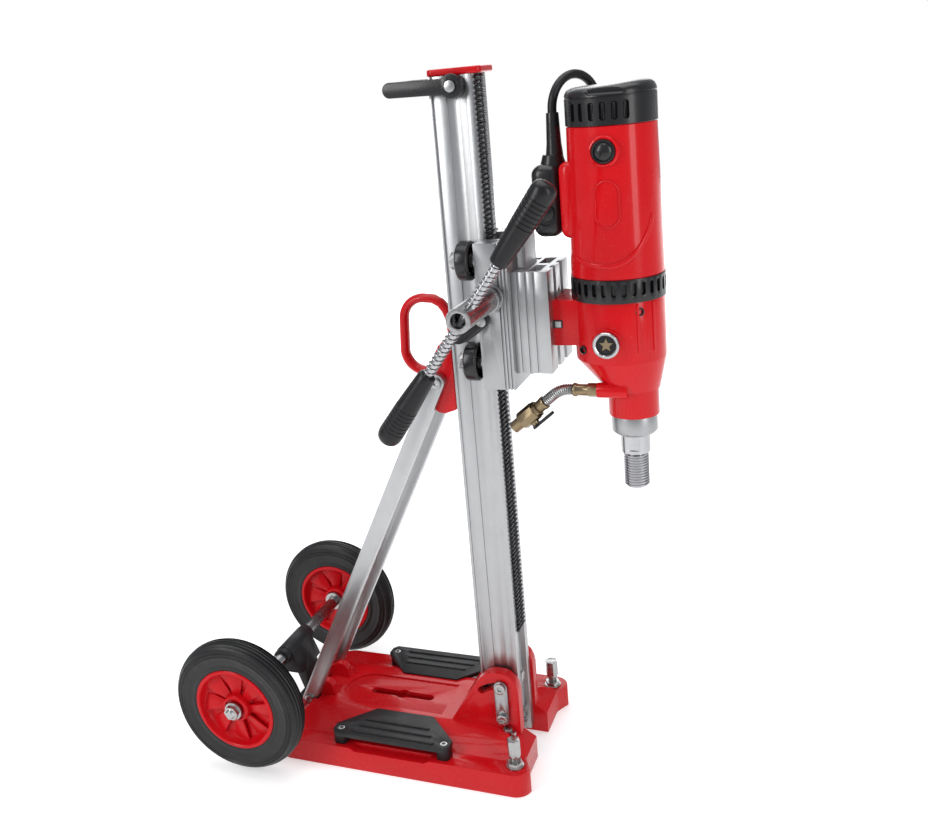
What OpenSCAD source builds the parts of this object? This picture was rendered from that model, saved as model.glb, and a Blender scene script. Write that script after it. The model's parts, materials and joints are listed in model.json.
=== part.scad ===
// Core drill rig: a wheeled cast base, a tilting toothed mast with back struts,
// a roller carriage moved by a rack and a cross handle, and an electric drill
// motor with gearbox, spindle, water hose and switch box.
// +Z is up, +X points from the mast to the drill, and -Y is the feed handle's side.

/* [Mast] */
// Side of the square mast
mast_size = 55; // [50:1:60]
// Height of the mast's top end
mast_top = 942; // [880:1:1100]
// Height of the mast's lower end
mast_foot = 12; // [10:1:16]
// Depth of the roller channel in each side of the mast
channel_depth = 2.5; // [1.5:0.5:4]
// Width of the roller channel
channel_w = 26.5; // [20:0.5:30]
// Distance from the roller channel to the mast's front face
channel_front = 7; // [6:0.5:9]
// Thickness of the plate that closes the mast's top
cap_t = 8.5; // [6:0.5:14]

/* [Rack drive] */
// Module of the rack and its pinion
rack_module = 2; // [1.5:0.25:2.5]
// Number of pinion teeth
pinion_teeth = 14; // [12:1:20]
// Width of the rack over both rows of teeth
rack_w = 31; // [24:1:34]
// Groove between the two rows of teeth
rack_groove = 3; // [2:0.5:6]
// Height of the rack's lower end
rack_foot = 187; // [170:1:260]
// How far the pitch line lies in front of the mast
rack_pitch_out = 1.3; // [0.5:0.1:2]

/* [Base] */
// Half of the base's width
base_half_w = 121; // [110:1:132]
// Distance from the mast's axis to the base's rear edge
base_back = 330; // [320:1:345]
// Height of the base's rim
rim_h = 34; // [28:1:40]
// Height of the base's raised middle
deck_h = 52; // [46:1:56]
// Wall of the casting
cast_t = 7; // [5:0.5:9]
// Radius of the front lobes about the levelling screws
lobe_r = 22; // [18:1:26]
// Levelling screws: distance in front of the mast's axis
level_x = 38.5; // [34:0.5:42]
// Length of the anchor slot
anchor_len = 102; // [80:1:120]
// Width of the anchor slot
anchor_w = 14; // [10:1:18]
// Centre of the anchor slot behind the mast's axis
anchor_back = 168; // [160:1:176]

/* [Tilt] */
// Height of the tilt pivot
pivot_z = 68; // [64:1:72]
// Tilt pivot in front of the mast's axis
pivot_x = 7.5; // [4:0.5:10]
// Radius of the tilt arc
arc_r = 49; // [44:1:52]
// Radius of the pivot and guide bolts
tilt_bolt_r = 5; // [4:0.5:6]
// Thickness of each ear
ear_t = 16; // [12:1:20]
// Running clearance between the ears and the mast
ear_gap = 1; // [0.5:0.1:2]
// Angle that the arc slots allow
arc_angle = 38; // [37:1:42]

/* [Struts] */
// Strut's lower pivot behind the mast's axis
strut_back = 305.5; // [298:0.5:308]
// Height of the strut's lower pivot
strut_low_z = 48; // [44:1:52]
// Strut's upper pivot behind the mast's axis
strut_top_back = 48.5; // [46:0.5:52]
// Height of the strut's upper pivot
strut_top_z = 559; // [520:1:580]
// Width of each strut
strut_w = 22; // [16:1:24]
// Thickness of each strut
strut_t = 11; // [8:1:13]
// Distance between the struts' inner faces
strut_inside = 62; // [60:1:66]

/* [Wheels] */
// Outside diameter of the tyres
tyre_d = 200; // [180:1:204]
// Width of the tyres
tyre_w = 38; // [30:1:42]
// Diameter of the wheel rims
rim_d = 124; // [110:1:130]
// Height of the axle
axle_z = 110.5; // [104:0.5:125]
// Axle behind the mast's axis
axle_back = 346.5; // [340:0.5:360]
// Distance between the wheels' middle planes
track = 318.5; // [310:0.5:330]
// Radius of the axle tube
axle_r = 9; // [7:0.5:10]

/* [Carriage] */
// Lower end of the carriage
carriage_foot = 558; // [540:1:575]
// Length of the carriage
carriage_len = 185; // [180:1:200]
// Half of the carriage's width
carriage_half_w = 60; // [58:1:64]
// Front face of the carriage in front of the mast's axis
carriage_front = 66; // [64:0.5:70]
// Radius of the guide rollers
roller_r = 24.75; // [20:0.25:28]
// Width of the guide rollers
roller_w = 17.5; // [12:0.5:18]
// Height of the lower rollers
roller_low_z = 592; // [586:1:596]
// Distance between lower and upper rollers
roller_pitch = 129; // [120:1:132]

/* [Spacer block] */
// Depth of the spacer block in front of the carriage
spacer_depth = 46; // [40:1:54]
// Half of the spacer block's width
spacer_half_w = 50; // [44:1:54]
// Lower end of the spacer block
spacer_foot = 577; // [570:1:590]
// Length of the spacer block
spacer_len = 128; // [110:1:135]
// Depth of the dovetail rail
rail_depth = 13; // [10:0.5:15]

/* [Feed handle] */
// Height of the feed shaft
feed_z = 677; // [670:0.5:684]
// Outer radius of the feed hub
hub_r = 15; // [13:0.5:17]
// Radius of the feed hub's open bore
hub_bore_r = 9.3; // [8:0.1:10]
// Distance from the mast's axis to the hub's open end
hub_reach = 180; // [172:1:190]
// Distance from the mast's axis to the crossbar
bar_reach = 157; // [150:1:162]
// Radius of the crossbar
bar_r = 5.5; // [4.5:0.25:6.5]
// Length of the crossbar with its grips
bar_len = 378; // [330:1:420]
// Length of each grip
grip_len = 108; // [90:1:125]
// Angle of the crossbar above the horizontal
bar_angle = 53.5; // [40:0.5:70]
// How far the crossbar hangs below its middle
bar_sag = 7; // [0:0.5:10]

/* [Motor] */
// Motor axis in front of the mast's axis
motor_x = 187.5; // [183:0.5:195]
// Outer radius of the motor at its lower end
motor_r = 56.5; // [54:0.5:59]
// Outer radius of the motor at its upper end
motor_top_r = 53; // [50:0.5:55]
// Wall of the motor and gear housings
shell_t = 3.5; // [3:0.5:5]
// Lower end of the gear housing's body
gearbox_foot = 590; // [584:1:598]
// Top of the gear housing
gearbox_top = 666; // [660:1:672]
// Height of the ventilation ring
vent_ring_h = 28; // [22:1:32]
// Length of the motor housing
housing_len = 177.5; // [160:0.5:200]
// Height of the end cap
end_cap_h = 53; // [45:1:60]

/* [Spindle] */
// Spindle axis in front of the mast's axis
spindle_x = 200.5; // [196:0.5:204]
// Major radius of the spindle's thread
thread_r = 15.875; // [12:0.125:17]
// Length of the spindle's thread
thread_len = 47; // [35:1:60]
// Radius of the spindle's shoulder
shoulder_r = 18.5; // [17:0.25:20]
// Length of the spindle's shoulder
shoulder_len = 26; // [20:1:32]
// Radius of the gear housing's neck
neck_r = 31.5; // [29:0.5:34]
// Length of the gear housing's neck
neck_len = 34; // [28:1:40]
// Radius of the silver collar
collar_r = 28.5; // [26:0.5:31]
// Length of the silver collar
collar_len = 26; // [20:1:30]
// Radius of the spindle's water bore
water_bore_r = 5; // [3:0.5:7]

/* [Hidden] */
$fn = 64;

// Clearances
run_gap = 0.05;      // radial, shaft in its running hole
free_gap = 0.3;      // between pieces that move past each other
slip_gap = 0.1;      // radial, fixed bolt in its hole
hair = 0.015;        // lets an arc and a line cross cleanly where they would only touch

// The frame: the origin lies under the middle of the whole rig's box
motor_front = motor_x + motor_r + 1.5;
mast_x = (axle_back + tyre_d / 2 - motor_front) / 2;

// Places that follow from the sizes above
half = mast_size / 2;
channel_x1 = half - channel_front;
channel_x0 = channel_x1 - channel_w;
rack_pitch_x = half + rack_pitch_out;
rack_root = 1.25 * rack_module;
rack_addendum = 0.8 * rack_module;
rack_half = rack_w / 2;
rack_bed_x = half - 8;
pinion_pitch_r = rack_module * pinion_teeth / 2;
feed_x = rack_pitch_x + pinion_pitch_r;
tooth_pitch = PI * rack_module;

carriage_back = half - 3.5;
carriage_top = carriage_foot + carriage_len;
cheek_gap = 0.7;
cheek_in = half + cheek_gap;
front_wall = 5;
roller_x0 = channel_x0 + 8.3;
roller_y = half - channel_depth + roller_r + free_gap;
roller_high_z = roller_low_z + roller_pitch;
roller_bore_r = 6 + run_gap;

rail_half = 24;
rail_neck = 18;
rail_foot = spacer_foot - 9;
spacer_front = carriage_front + spacer_depth;

ring_r = motor_r + 1;
housing_foot = gearbox_top + vent_ring_h;
housing_top = housing_foot + housing_len;
cap_top = housing_top + end_cap_h;
neck_top = gearbox_foot - 42;
neck_foot = neck_top - neck_len;
collar_foot = neck_foot - collar_len;
shoulder_foot = collar_foot - shoulder_len;
spindle_foot = shoulder_foot - thread_len;

wheel_y = track / 2;
ear_in = half + ear_gap;
ear_out = ear_in + ear_t;
level_y = base_half_w - lobe_r;
link_t = 4;
strut_in = strut_inside / 2;
strut_out = strut_in + strut_t;
strut_len = norm([strut_back - strut_top_back, strut_top_z - strut_low_z]);
strut_lean = atan2(strut_back - strut_top_back, strut_top_z - strut_low_z);
lug_out = strut_in - free_gap;

valve_x = 72;
valve_z = 515.5;
valve_tilt = 40;
hose_z = neck_top + 4;

// The lead's route, from the switch box's bend protector over to the end cap
lead_r = 5.5;
lead_x = 117;
lead_turn = 60;
lead_bend = 40;
lead_low = 890;
lead_points = concat(
    [for (z = [846, 861, 876]) [lead_x, 0, z]],
    [for (a = [0:22.5:180])
        [lead_x + lead_bend * (1 - cos(a)) * cos(lead_turn), lead_bend * (1 - cos(a)) * sin(lead_turn),
         lead_low + lead_bend * sin(a)]]
);
lead_end = lead_points[len(lead_points) - 1];

// The water hose's route, from the inlet down to the valve
hose_r = 7.5;
hose_y = -33;
inlet_x = 163;
valve_nose = [valve_x + 30.3 * cos(valve_tilt), hose_y, valve_z + 30.3 * sin(valve_tilt)];
hose_points = [
    [inlet_x - 30.3, hose_y, hose_z], [124, hose_y, hose_z], [116, hose_y, hose_z - 1.6],
    [108.6, hose_y, hose_z - 6], valve_nose + 9 * [cos(valve_tilt), 0, sin(valve_tilt)], valve_nose
];

// Helpers --------------------------------------------------------------

module rig() {
    translate([mast_x, 0, 0]) children();
}

// A cylinder along Y from y0 to y1
module y_rod(x, z, r, y0, y1, r2 = -1) {
    translate([x, y0, z]) rotate([-90, 0, 0]) cylinder(r1 = r, r2 = r2 < 0 ? r : r2, h = y1 - y0);
}

// A cylinder along X from x0 to x1
module x_rod(y, z, r, x0, x1, r2 = -1) {
    translate([x0, y, z]) rotate([0, 90, 0]) cylinder(r1 = r, r2 = r2 < 0 ? r : r2, h = x1 - x0);
}

// A cylinder along Z from z0 to z1
module z_rod(x, y, r, z0, z1, r2 = -1) {
    translate([x, y, z0]) cylinder(r1 = r, r2 = r2 < 0 ? r : r2, h = z1 - z0);
}

// A box from one corner to the other
module block(a, b) {
    translate(a) cube([b[0] - a[0], b[1] - a[1], b[2] - a[2]]);
}

// An outline in X and Z, thick from y0 to y1
module side_plate(y0, y1) {
    translate([0, y1, 0]) rotate([90, 0, 0]) linear_extrude(y1 - y0) children();
}

// A hexagonal prism along Y
module y_hex(x, z, across, y0, y1) {
    translate([x, y0, z]) rotate([-90, 0, 0]) cylinder(d = across / cos(30), h = y1 - y0, $fn = 6);
}

// The same thing on the near and far sides
module both_sides() {
    children();
    mirror([0, 1, 0]) children();
}

// A bar with round ends between two points of one plane. Its straight sides lie
// a hair inside the ends, so that the two meet at an angle and not in a tangent.
module link2d(a, b, r) {
    v = b - a;
    translate(a) circle(r);
    translate(b) circle(r);
    translate(a) rotate(atan2(v[1], v[0])) translate([0, hair - r]) square([norm(v), 2 * (r - hair)]);
}

// A square with round corners, centred
module round_square(w, h, r) {
    square([w - 2 * r, h], center = true);
    square([w, h - 2 * r], center = true);
    for (sx = [-1, 1], sy = [-1, 1])
        translate([sx * (w / 2 - r), sy * (h / 2 - r)]) circle(r);
}

// A slot along X with round ends, through a face that looks along Y
module y_slot(x, z, len, w, y0, y1) {
    side_plate(y0, y1) link2d([x - (len - w) / 2, z], [x + (len - w) / 2, z], w / 2);
}

// A slot along Z with round ends, cut along Y
module y_slot_upright(x, z, len, w, y0, y1) {
    side_plate(y0, y1) link2d([x, z - (len - w) / 2], [x, z + (len - w) / 2], w / 2);
}

// Involute gear outline; a tooth is centred on the +X axis
function involute(base, t) = [base * (cos(t) + t * PI / 180 * sin(t)), base * (sin(t) - t * PI / 180 * cos(t))];
function roll_angle(base, r) = r > base ? 180 / PI * sqrt(r * r / (base * base) - 1) : 0;
function turned(p, a) = [p[0] * cos(a) - p[1] * sin(a), p[0] * sin(a) + p[1] * cos(a)];
function flank(m, z, addendum, root, back) =
    let (pitch = m * z / 2, base = pitch * cos(20), tip = pitch + addendum, foot = pitch - root,
         t_pitch = roll_angle(base, pitch), p_pitch = involute(base, t_pitch),
         half_tooth = (PI * m / 2 - back) / (2 * pitch) * 180 / PI,
         turn = -half_tooth - atan2(p_pitch[1], p_pitch[0]),
         t0 = roll_angle(base, foot), t1 = roll_angle(base, tip), steps = 5)
    concat(foot < base ? [turned([foot, 0], turn)] : [],
           [for (i = [0:steps]) turned(involute(base, t0 + (t1 - t0) * i / steps), turn)]);
function gear_points(m, z, addendum, root, back) =
    let (f = flank(m, z, addendum, root, back), n = len(f))
    [for (k = [0:z - 1], i = [0:2 * n - 1])
        turned(i < n ? f[i] : [f[2 * n - 1 - i][0], -f[2 * n - 1 - i][1]], 360 * k / z)];

// A tube swept along points, with a ring of corners at each
function unit(v) = v / norm(v);
function along(p, i) = unit(p[min(i + 1, len(p) - 1)] - p[max(i - 1, 0)]);
module swept(points, r, sides) {
    side = cross(along(points, 0), unit(points[len(points) - 1] - points[0] + [0, 0.01, 0.02]));
    rings = [for (i = [0:len(points) - 1])
        let (t = along(points, i), u = unit(side - t * (side * t)), v = cross(t, u))
        for (k = [0:sides - 1])
            points[i] + r * (cos(360 * k / sides) * u + sin(360 * k / sides) * v)];
    n = len(points);
    polyhedron(rings, concat(
        [[for (k = [0:sides - 1]) k]],
        [for (i = [0:n - 2], k = [0:sides - 1])
            [i * sides + k, (i + 1) * sides + k, (i + 1) * sides + (k + 1) % sides, i * sides + (k + 1) % sides]],
        [[for (k = [sides - 1:-1:0]) (n - 1) * sides + k]]));
}

// Base -------------------------------------------------------------------

notch_r = 195;

// The base's outline on the floor, with inset taken off all round
module base_outline(inset) {
    corner = 30;
    w = base_half_w - inset;
    difference() {
        union() {
            translate([-base_back + corner, -w]) square([base_back - corner + level_x, 2 * w]);
            translate([-base_back + inset, -w + corner - inset]) square([corner, 2 * (w - corner + inset)]);
            for (s = [-1, 1]) {
                translate([-base_back + corner, s * (base_half_w - corner)]) circle(corner - inset + hair);
                translate([level_x, s * level_y]) circle(lobe_r - inset + hair);
            }
            translate([0, -level_y]) square([level_x + lobe_r - inset, 2 * level_y]);
        }
        translate([half + 4 + notch_r, 0]) circle(notch_r + inset, $fn = 160);
    }
}

// The raised middle: sloping flanks and a sloping rear end
module deck(inset) {
    top = deck_h - inset;
    wide = 94 - inset;
    narrow = 60 - inset;
    rear = -base_back + 14 + inset;
    intersection() {
        translate([-base_back, 0, 0]) rotate([90, 0, 90]) linear_extrude(base_back + half + 25)
            polygon([[-wide, 0], [-wide, rim_h - inset - 1], [-narrow, top], [narrow, top],
                     [wide, rim_h - inset - 1], [wide, 0]]);
        side_plate(-wide, wide)
            polygon([[rear, 0], [rear, rim_h - inset - 1], [rear + 20, top], [18 - inset, top],
                     [half + 21 - inset, rim_h - inset - 1], [half + 21 - inset, 0]]);
    }
}

module ear() {
    front = half + 4;
    side_plate(-ear_out, -ear_in) {
        polygon([[-79, deck_h - 12], [front, deck_h - 12], [front, 110], [front - 1, 118], [front - 5, 127],
                 [front - 12, 134], [front - 21, 137], [-5, 137], [-14, 134], [-23, 127], [-30, 118]]);
    }
}

module ear_bores() {
    y_rod(pivot_x, pivot_z, tilt_bolt_r + run_gap, -ear_out - 1, ear_out + 1);
    arc_w = tilt_bolt_r + free_gap;
    intersection() {
        difference() {
            y_rod(pivot_x, pivot_z, arc_r + arc_w, -ear_out - 1, ear_out + 1);
            y_rod(pivot_x, pivot_z, arc_r - arc_w, -ear_out - 2, ear_out + 2);
        }
        side_plate(-ear_out - 3, ear_out + 3)
            polygon([[pivot_x, pivot_z], [pivot_x, pivot_z + 90],
                     [pivot_x - 90 * sin(arc_angle), pivot_z + 90 * cos(arc_angle)]]);
    }
    for (a = [0, arc_angle])
        y_rod(pivot_x - arc_r * sin(a), pivot_z + arc_r * cos(a), arc_w - hair, -ear_out - 1, ear_out + 1);
}

// A lug for each strut, rising between them from the deck's rear end
module strut_lug() {
    side_plate(-lug_out, -lug_out + 12) {
        link2d([-strut_back, strut_low_z], [-strut_back + 24, strut_low_z + 14], 13);
        polygon([[-strut_back - 12, 30], [-strut_back - 13, strut_low_z], [-strut_back + 34, strut_low_z + 22],
                 [-strut_back + 44, 40], [-strut_back + 40, 30]]);
    }
}

module base() rig() color("crimson") {
    difference() {
        union() {
            linear_extrude(rim_h) base_outline(0);
            deck(0);
            both_sides() ear();
            both_sides() strut_lug();
        }
        difference() {
            union() {
                translate([0, 0, -1]) linear_extrude(rim_h - cast_t + 1) base_outline(cast_t);
                translate([0, 0, -0.5]) deck(cast_t);
            }
            // pillars that carry the screws, ribs that stiffen the casting
            both_sides() z_rod(level_x, level_y, 13, 0, rim_h);
            both_sides() for (x = [pad_x0, pad_x1]) z_rod(x, pad_y, 8, 0, rim_h);
            both_sides() block([-78, ear_in, 0], [half + 20, ear_in + 6, deck_h]);
            block([-base_back + 30, -3, 0], [-anchor_back - anchor_len / 2 - 8, 3, deck_h]);
            block([-84, -60, 0], [-78, 60, deck_h]);
        }
        // the mast's way through, open to the front
        block([-half - 2.5, -ear_in, -1], [half + 40, ear_in, deck_h + 120]);
        // the anchor slot, wider in its middle
        translate([-anchor_back, 0, -1]) linear_extrude(deck_h + 10) {
            link2d([-(anchor_len - anchor_w) / 2, 0], [(anchor_len - anchor_w) / 2, 0], anchor_w / 2);
            circle(anchor_w / 2 + 3.5);
        }
        ear_bores();
        y_rod(-strut_back, strut_low_z, 4 + run_gap, -lug_out - 1, lug_out + 1);
        both_sides() z_rod(level_x, level_y, 6 + free_gap, -1, rim_h + 1);
        // hand room under each foot pad
        both_sides() side_plate(-base_half_w - 1, -base_half_w + 15)
            polygon([[pad_x0 + 16, rim_h + 1], [pad_x0 + 25, rim_h - 4.5], [pad_x1 - 25, rim_h - 4.5],
                     [pad_x1 - 16, rim_h + 1]]);
        // room for the struts' lower ends
        both_sides() side_plate(-strut_out - 3.2, -lug_out) {
            translate([-strut_back, strut_low_z]) circle(strut_w / 2 + 1);
            polygon([[-strut_back - strut_w / 2 + 1, strut_low_z + 3], [-strut_back - 30, strut_low_z + 50],
                     [-strut_back + 50, strut_low_z + 50], [-strut_back + strut_w / 2 - 1, strut_low_z - 5]]);
        }
        // flat seats for the levelling nuts and the small deck screws
        both_sides() z_rod(level_x, level_y, 13, rim_h, deck_h);
        both_sides() z_rod(24, ear_out + 11, 4.5, deck_h - 2.6, deck_h + 1);
        // shallow panel round the anchor slot
        translate([0, 0, deck_h - 2]) linear_extrude(3) {
            translate([-222, 0]) circle(38);
            translate([-222, hair - 38]) square([132, 2 * (38 - hair)]);
        }
    }
}

pad_x0 = -220.5;
pad_x1 = -62.5;
pad_y = 103.5;
pad_in = 49;
pad_top = 54.5;
pad_t = 6;

module foot_pad() {
    difference() {
        foot_pad_block();
        deck(0);
    }
}

module foot_pad_block() {
    difference() {
        union() {
            translate([0, 0, pad_top - pad_t]) linear_extrude(pad_t)
                polygon([[pad_x0 - 10, -pad_y - 6], [pad_x0 - 4, -pad_y - 14], [pad_x1 + 4, -pad_y - 14],
                         [pad_x1 + 10, -pad_y - 6], [pad_x1 + 10, -pad_y + 8], [pad_x1 - 36, -pad_in],
                         [pad_x0 + 34, -pad_in], [pad_x0 - 10, -pad_y + 8]]);
            for (x = [pad_x0, pad_x1])
                translate([0, 0, rim_h]) linear_extrude(pad_top - rim_h - 1)
                    translate([x, -pad_y]) round_square(19, 22, 6);
            for (i = [0:2])
                translate([0, 0, pad_top]) linear_extrude(1.6)
                    link2d([pad_x0 + 22 + 4 * i, -pad_y - 4 + 15 * i], [pad_x1 - 16 - 9 * i, -pad_y - 4 + 15 * i], 3);
        }
        for (x = [pad_x0, pad_x1]) {
            z_rod(x, -pad_y, 3 + slip_gap, rim_h - 1, pad_top + 1);
            z_rod(x, -pad_y, 5.6, pad_top - 5, pad_top + 1);
        }
    }
}

module foot_pads() rig() color("dimgray") both_sides() foot_pad();

// Screws of the foot pads, seats of the levelling screws and the two deck screws
module base_fasteners() rig() color("silver") both_sides() {
    for (x = [pad_x0, pad_x1]) {
        z_rod(x, -pad_y, 3, rim_h, pad_top - 5);
        difference() {
            z_rod(x, -pad_y, 5.2, pad_top - 5, pad_top - 0.5);
            translate([x, -pad_y, pad_top - 3]) cylinder(d = 5.8, h = 4, $fn = 6);
        }
    }
    difference() {
        union() {
            z_rod(level_x, -level_y, 12, rim_h, rim_h + 2.2);
            translate([level_x, -level_y, rim_h + 2.2]) cylinder(d = 19 / cos(30), h = 5, $fn = 6);
        }
        z_rod(level_x, -level_y, 6 + run_gap, rim_h - 1, rim_h + 12);
    }
    z_rod(15, -ear_out - 7, 6.2, deck_h, deck_h + 4.5);
    z_rod(24, -ear_out - 11, 4, deck_h - 2.6, deck_h + 2.5);
}

module levelling_screw(side) {
    z_rod(level_x, side * level_y, 6, 3, rim_h + 16);
    z_rod(level_x, side * level_y, 8.2, rim_h + 16, rim_h + 19);
    translate([level_x, side * level_y, rim_h + 19]) cylinder(d = 16 / cos(30), h = 22, $fn = 6);
}
module levelling_screw_near() rig() color("silver") levelling_screw(-1);
module levelling_screw_far() rig() color("silver") levelling_screw(1);

// Wheels -------------------------------------------------------------------

bracket_half = 40;
bracket_t = 5;
stub_r = 7;
hub_half = tyre_w / 2 - 3;

module axle_bracket() rig() color("dimgray") {
    ax = -axle_back;
    difference() {
        union() {
            // strap over the tube and down to the base's rear end
            side_plate(-bracket_half, bracket_half) difference() {
                union() {
                    translate([ax, axle_z]) circle(axle_r + slip_gap + bracket_t);
                    polygon([[ax + 3, axle_z + 14], [ax + 14, axle_z + 6], [-base_back + 18, deck_h + 8],
                             [-base_back + 13.5, rim_h - 2], [-base_back, rim_h - 10], [-base_back, 8],
                             [-base_back - 6, 8], [-base_back - 6, rim_h + 6], [ax - 8, axle_z - 10]]);
                }
                polygon([[ax - 30, axle_z - 4], [ax + 2, axle_z - 16], [-base_back + 6, rim_h + 22],
                         [-base_back - 1, rim_h + 4], [ax - 30, rim_h + 4]]);
            }
            for (y = [-bracket_half + 6, -2.5, bracket_half - 11])
                side_plate(y, y + 5)
                    polygon([[ax - 12, axle_z + 2], [ax + 10, axle_z], [-base_back + 12, deck_h], [-base_back, rim_h],
                             [-base_back - 6, rim_h], [ax - 10, axle_z - 14]]);
        }
        y_rod(ax, axle_z, axle_r + slip_gap, -bracket_half - 1, bracket_half + 1);
        // clear of the base's own solid
        linear_extrude(rim_h) base_outline(0);
        deck(0);
        both_sides() strut_lug();
        both_sides() block([-base_back - 20, -bracket_half - 1, 0], [0, -lug_out + 12 + 0.5, deck_h + 30]);
        // clear of the struts
        both_sides() difference() {
            block([-base_back - 60, -bracket_half - 1, 0], [0, -strut_in + 0.6, axle_z + 60]);
            y_rod(ax, axle_z, axle_r + 4, -bracket_half - 2, 0);
        }
    }
}

module axle_tube() rig() color("silver")
    difference() {
        y_rod(-axle_back, axle_z, axle_r, -wheel_y + hub_half + free_gap, wheel_y - hub_half - free_gap);
        y_rod(-axle_back, axle_z, stub_r + slip_gap, -wheel_y, wheel_y);
    }

// Stub shaft, inner flange, outer washer and domed nut at each wheel
module axle_bolts() rig() color("gainsboro") both_sides() {
    y_rod(-axle_back, axle_z, stub_r, -wheel_y - tyre_w / 2 - 2, -wheel_y + tyre_w / 2 + 10);
    difference() {
        y_rod(-axle_back, axle_z, 15, -wheel_y + hub_half + free_gap, -wheel_y + hub_half + 4);
        y_rod(-axle_back, axle_z, axle_r + slip_gap, -wheel_y, -wheel_y + tyre_w);
    }
    y_rod(-axle_back, axle_z, 13, -wheel_y - tyre_w / 2 - 1.5, -wheel_y - hub_half - free_gap);
    y_hex(-axle_back, axle_z, 19, -wheel_y - tyre_w / 2 - 8, -wheel_y - tyre_w / 2 - 1.5);
    y_rod(-axle_back, axle_z, 5, -wheel_y - tyre_w / 2 - 11.5, -wheel_y - tyre_w / 2 - 8, 7.5);
}

// A wheel centred on its axle, the outer face towards -Y
module wheel_hub_shape() {
    rim_r = rim_d / 2;
    w = tyre_w;
    rotate([90, 0, 0]) difference() {
        union() {
            difference() {
                cylinder(r = rim_r, h = w - 4, center = true);
                cylinder(r = rim_r - 5, h = w, center = true);
            }
            cylinder(r = rim_r - 4, h = 4, center = true);
            cylinder(r = 19, h = w - 4, center = true);
            for (k = [0:6])
                rotate(360 / 7 * k) translate([15, -1.5, -w / 2 + 7]) cube([rim_r - 18, 3, w - 14]);
        }
        cylinder(r = stub_r + run_gap, h = w + 2, center = true);
        for (s = [-1, 1]) translate([0, 0, s * (hub_half + 3)]) cylinder(r = 15.5, h = 6, center = true);
    }
}

module tyre_shape() {
    r = tyre_d / 2;
    h = tyre_w / 2;
    rim_r = rim_d / 2;
    rotate([90, 0, 0]) rotate_extrude($fn = 96)
        polygon([[rim_r, -h + 3], [rim_r + 3, -h + 1], [rim_r + 14, -h], [r - 9, -h + 3], [r - 3, -h + 9],
                 [r, -h + 15], [r, h - 15], [r - 3, h - 9], [r - 9, h - 3], [rim_r + 14, h], [rim_r + 3, h - 1],
                 [rim_r, h - 3]]);
}

module at_wheel(side) {
    translate([-axle_back, side * wheel_y, axle_z]) children();
}
module wheel_hub_near() rig() color("red") at_wheel(-1) wheel_hub_shape();
module tyre_near() rig() color("black") at_wheel(-1) tyre_shape();
module wheel_hub_far() rig() color("red") at_wheel(1) wheel_hub_shape();
module tyre_far() rig() color("black") at_wheel(1) tyre_shape();

// Struts ----------------------------------------------------------------------

module strut() {
    a = [-strut_back, strut_low_z];
    b = [-strut_top_back, strut_top_z];
    difference() {
        side_plate(-strut_out, -strut_in) link2d(a, b, strut_w / 2);
        y_rod(a[0], a[1], 4, -strut_out - 1, -strut_in + 1);
        y_rod(b[0], b[1], 4, -strut_out - 1, -strut_in + 1);
        y_rod(a[0], a[1], 7.5, -strut_out - 1, -strut_out + 1.5);
        y_rod(b[0], b[1], 7.5, -strut_out - 1, -strut_out + 1.5);
    }
}
module struts() rig() color("silver") both_sides() strut();

module strut_pivot_bolts() rig() color("gainsboro") {
    y_rod(-strut_back, strut_low_z, 4, -strut_out + 1, strut_out - 1);
    both_sides() difference() {
        y_rod(-strut_back, strut_low_z, 7.2, -strut_out - 2.5, -strut_out + 1);
        translate([-strut_back, -strut_out - 0.5, strut_low_z]) rotate([90, 0, 0]) cylinder(d = 5.8, h = 4, $fn = 6);
    }
}

// Each upper pivot screw ends inside its strut, because the pivot is the linkage's open one
module strut_top_screws() rig() color("gainsboro") both_sides() {
    y_rod(-strut_top_back, strut_top_z, 4, -strut_out + 1, -strut_in);
    difference() {
        y_rod(-strut_top_back, strut_top_z, 7.2, -strut_out - 2.5, -strut_out + 1);
        translate([-strut_top_back, -strut_out - 0.5, strut_top_z]) rotate([90, 0, 0])
            cylinder(d = 5.8, h = 4, $fn = 6);
    }
}

// The sliding bracket behind the mast, with its ring handle ----------------------

bracket_x1 = -half - free_gap;
ring_half = 11;
body_half = strut_in - 1.5;

module ring_handle() rig() color("red") {
    difference() {
        union() {
            // the ring: a long oval, thick as the hand needs
            side_plate(-ring_half, ring_half) difference() {
                link2d([-73, 634], [-76, 592], 36);
                link2d([-73, 632], [-76, 592], 19);
                translate([bracket_x1, 500]) square([40, 240]);
            }
            // the body that rides on the mast
            side_plate(-body_half, body_half)
                polygon([[bracket_x1, 518], [bracket_x1, 612], [-39, 612], [-52, 596], [-62, 560], [-64, 526],
                         [-58, 516], [-45, 512]]);
            side_plate(-ring_half, ring_half) polygon([[bracket_x1, 600], [bracket_x1, 650], [-39, 655], [-50, 600]]);
        }
        y_rod(-46, 580, 3, -body_half - 1, -body_half + 12);
        x_rod(0, 545, 3 + slip_gap, -80, bracket_x1 + 1);
    }
}

tee_x1 = -half + 4.6;
// Clamp screw and tee nut in the mast's rear slot, and the side set screw
module bracket_clamp() rig() color("black") {
    block([bracket_x1, -4.6, 525], [tee_x1 + 0.3, 4.6, 604]);
    block([tee_x1 + 0.3, -9, 525], [tee_x1 + 4, 9, 604]);
    x_rod(0, 545, 3, -63, bracket_x1);
    x_rod(0, 545, 5.5, -69, -63);
    difference() {
        y_rod(-46, 580, 3, -body_half, -body_half + 11);
        translate([-46, -body_half + 2, 580]) rotate([90, 0, 0]) cylinder(d = 3.4, h = 4, $fn = 6);
    }
}

// Mast -----------------------------------------------------------------------------

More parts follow.
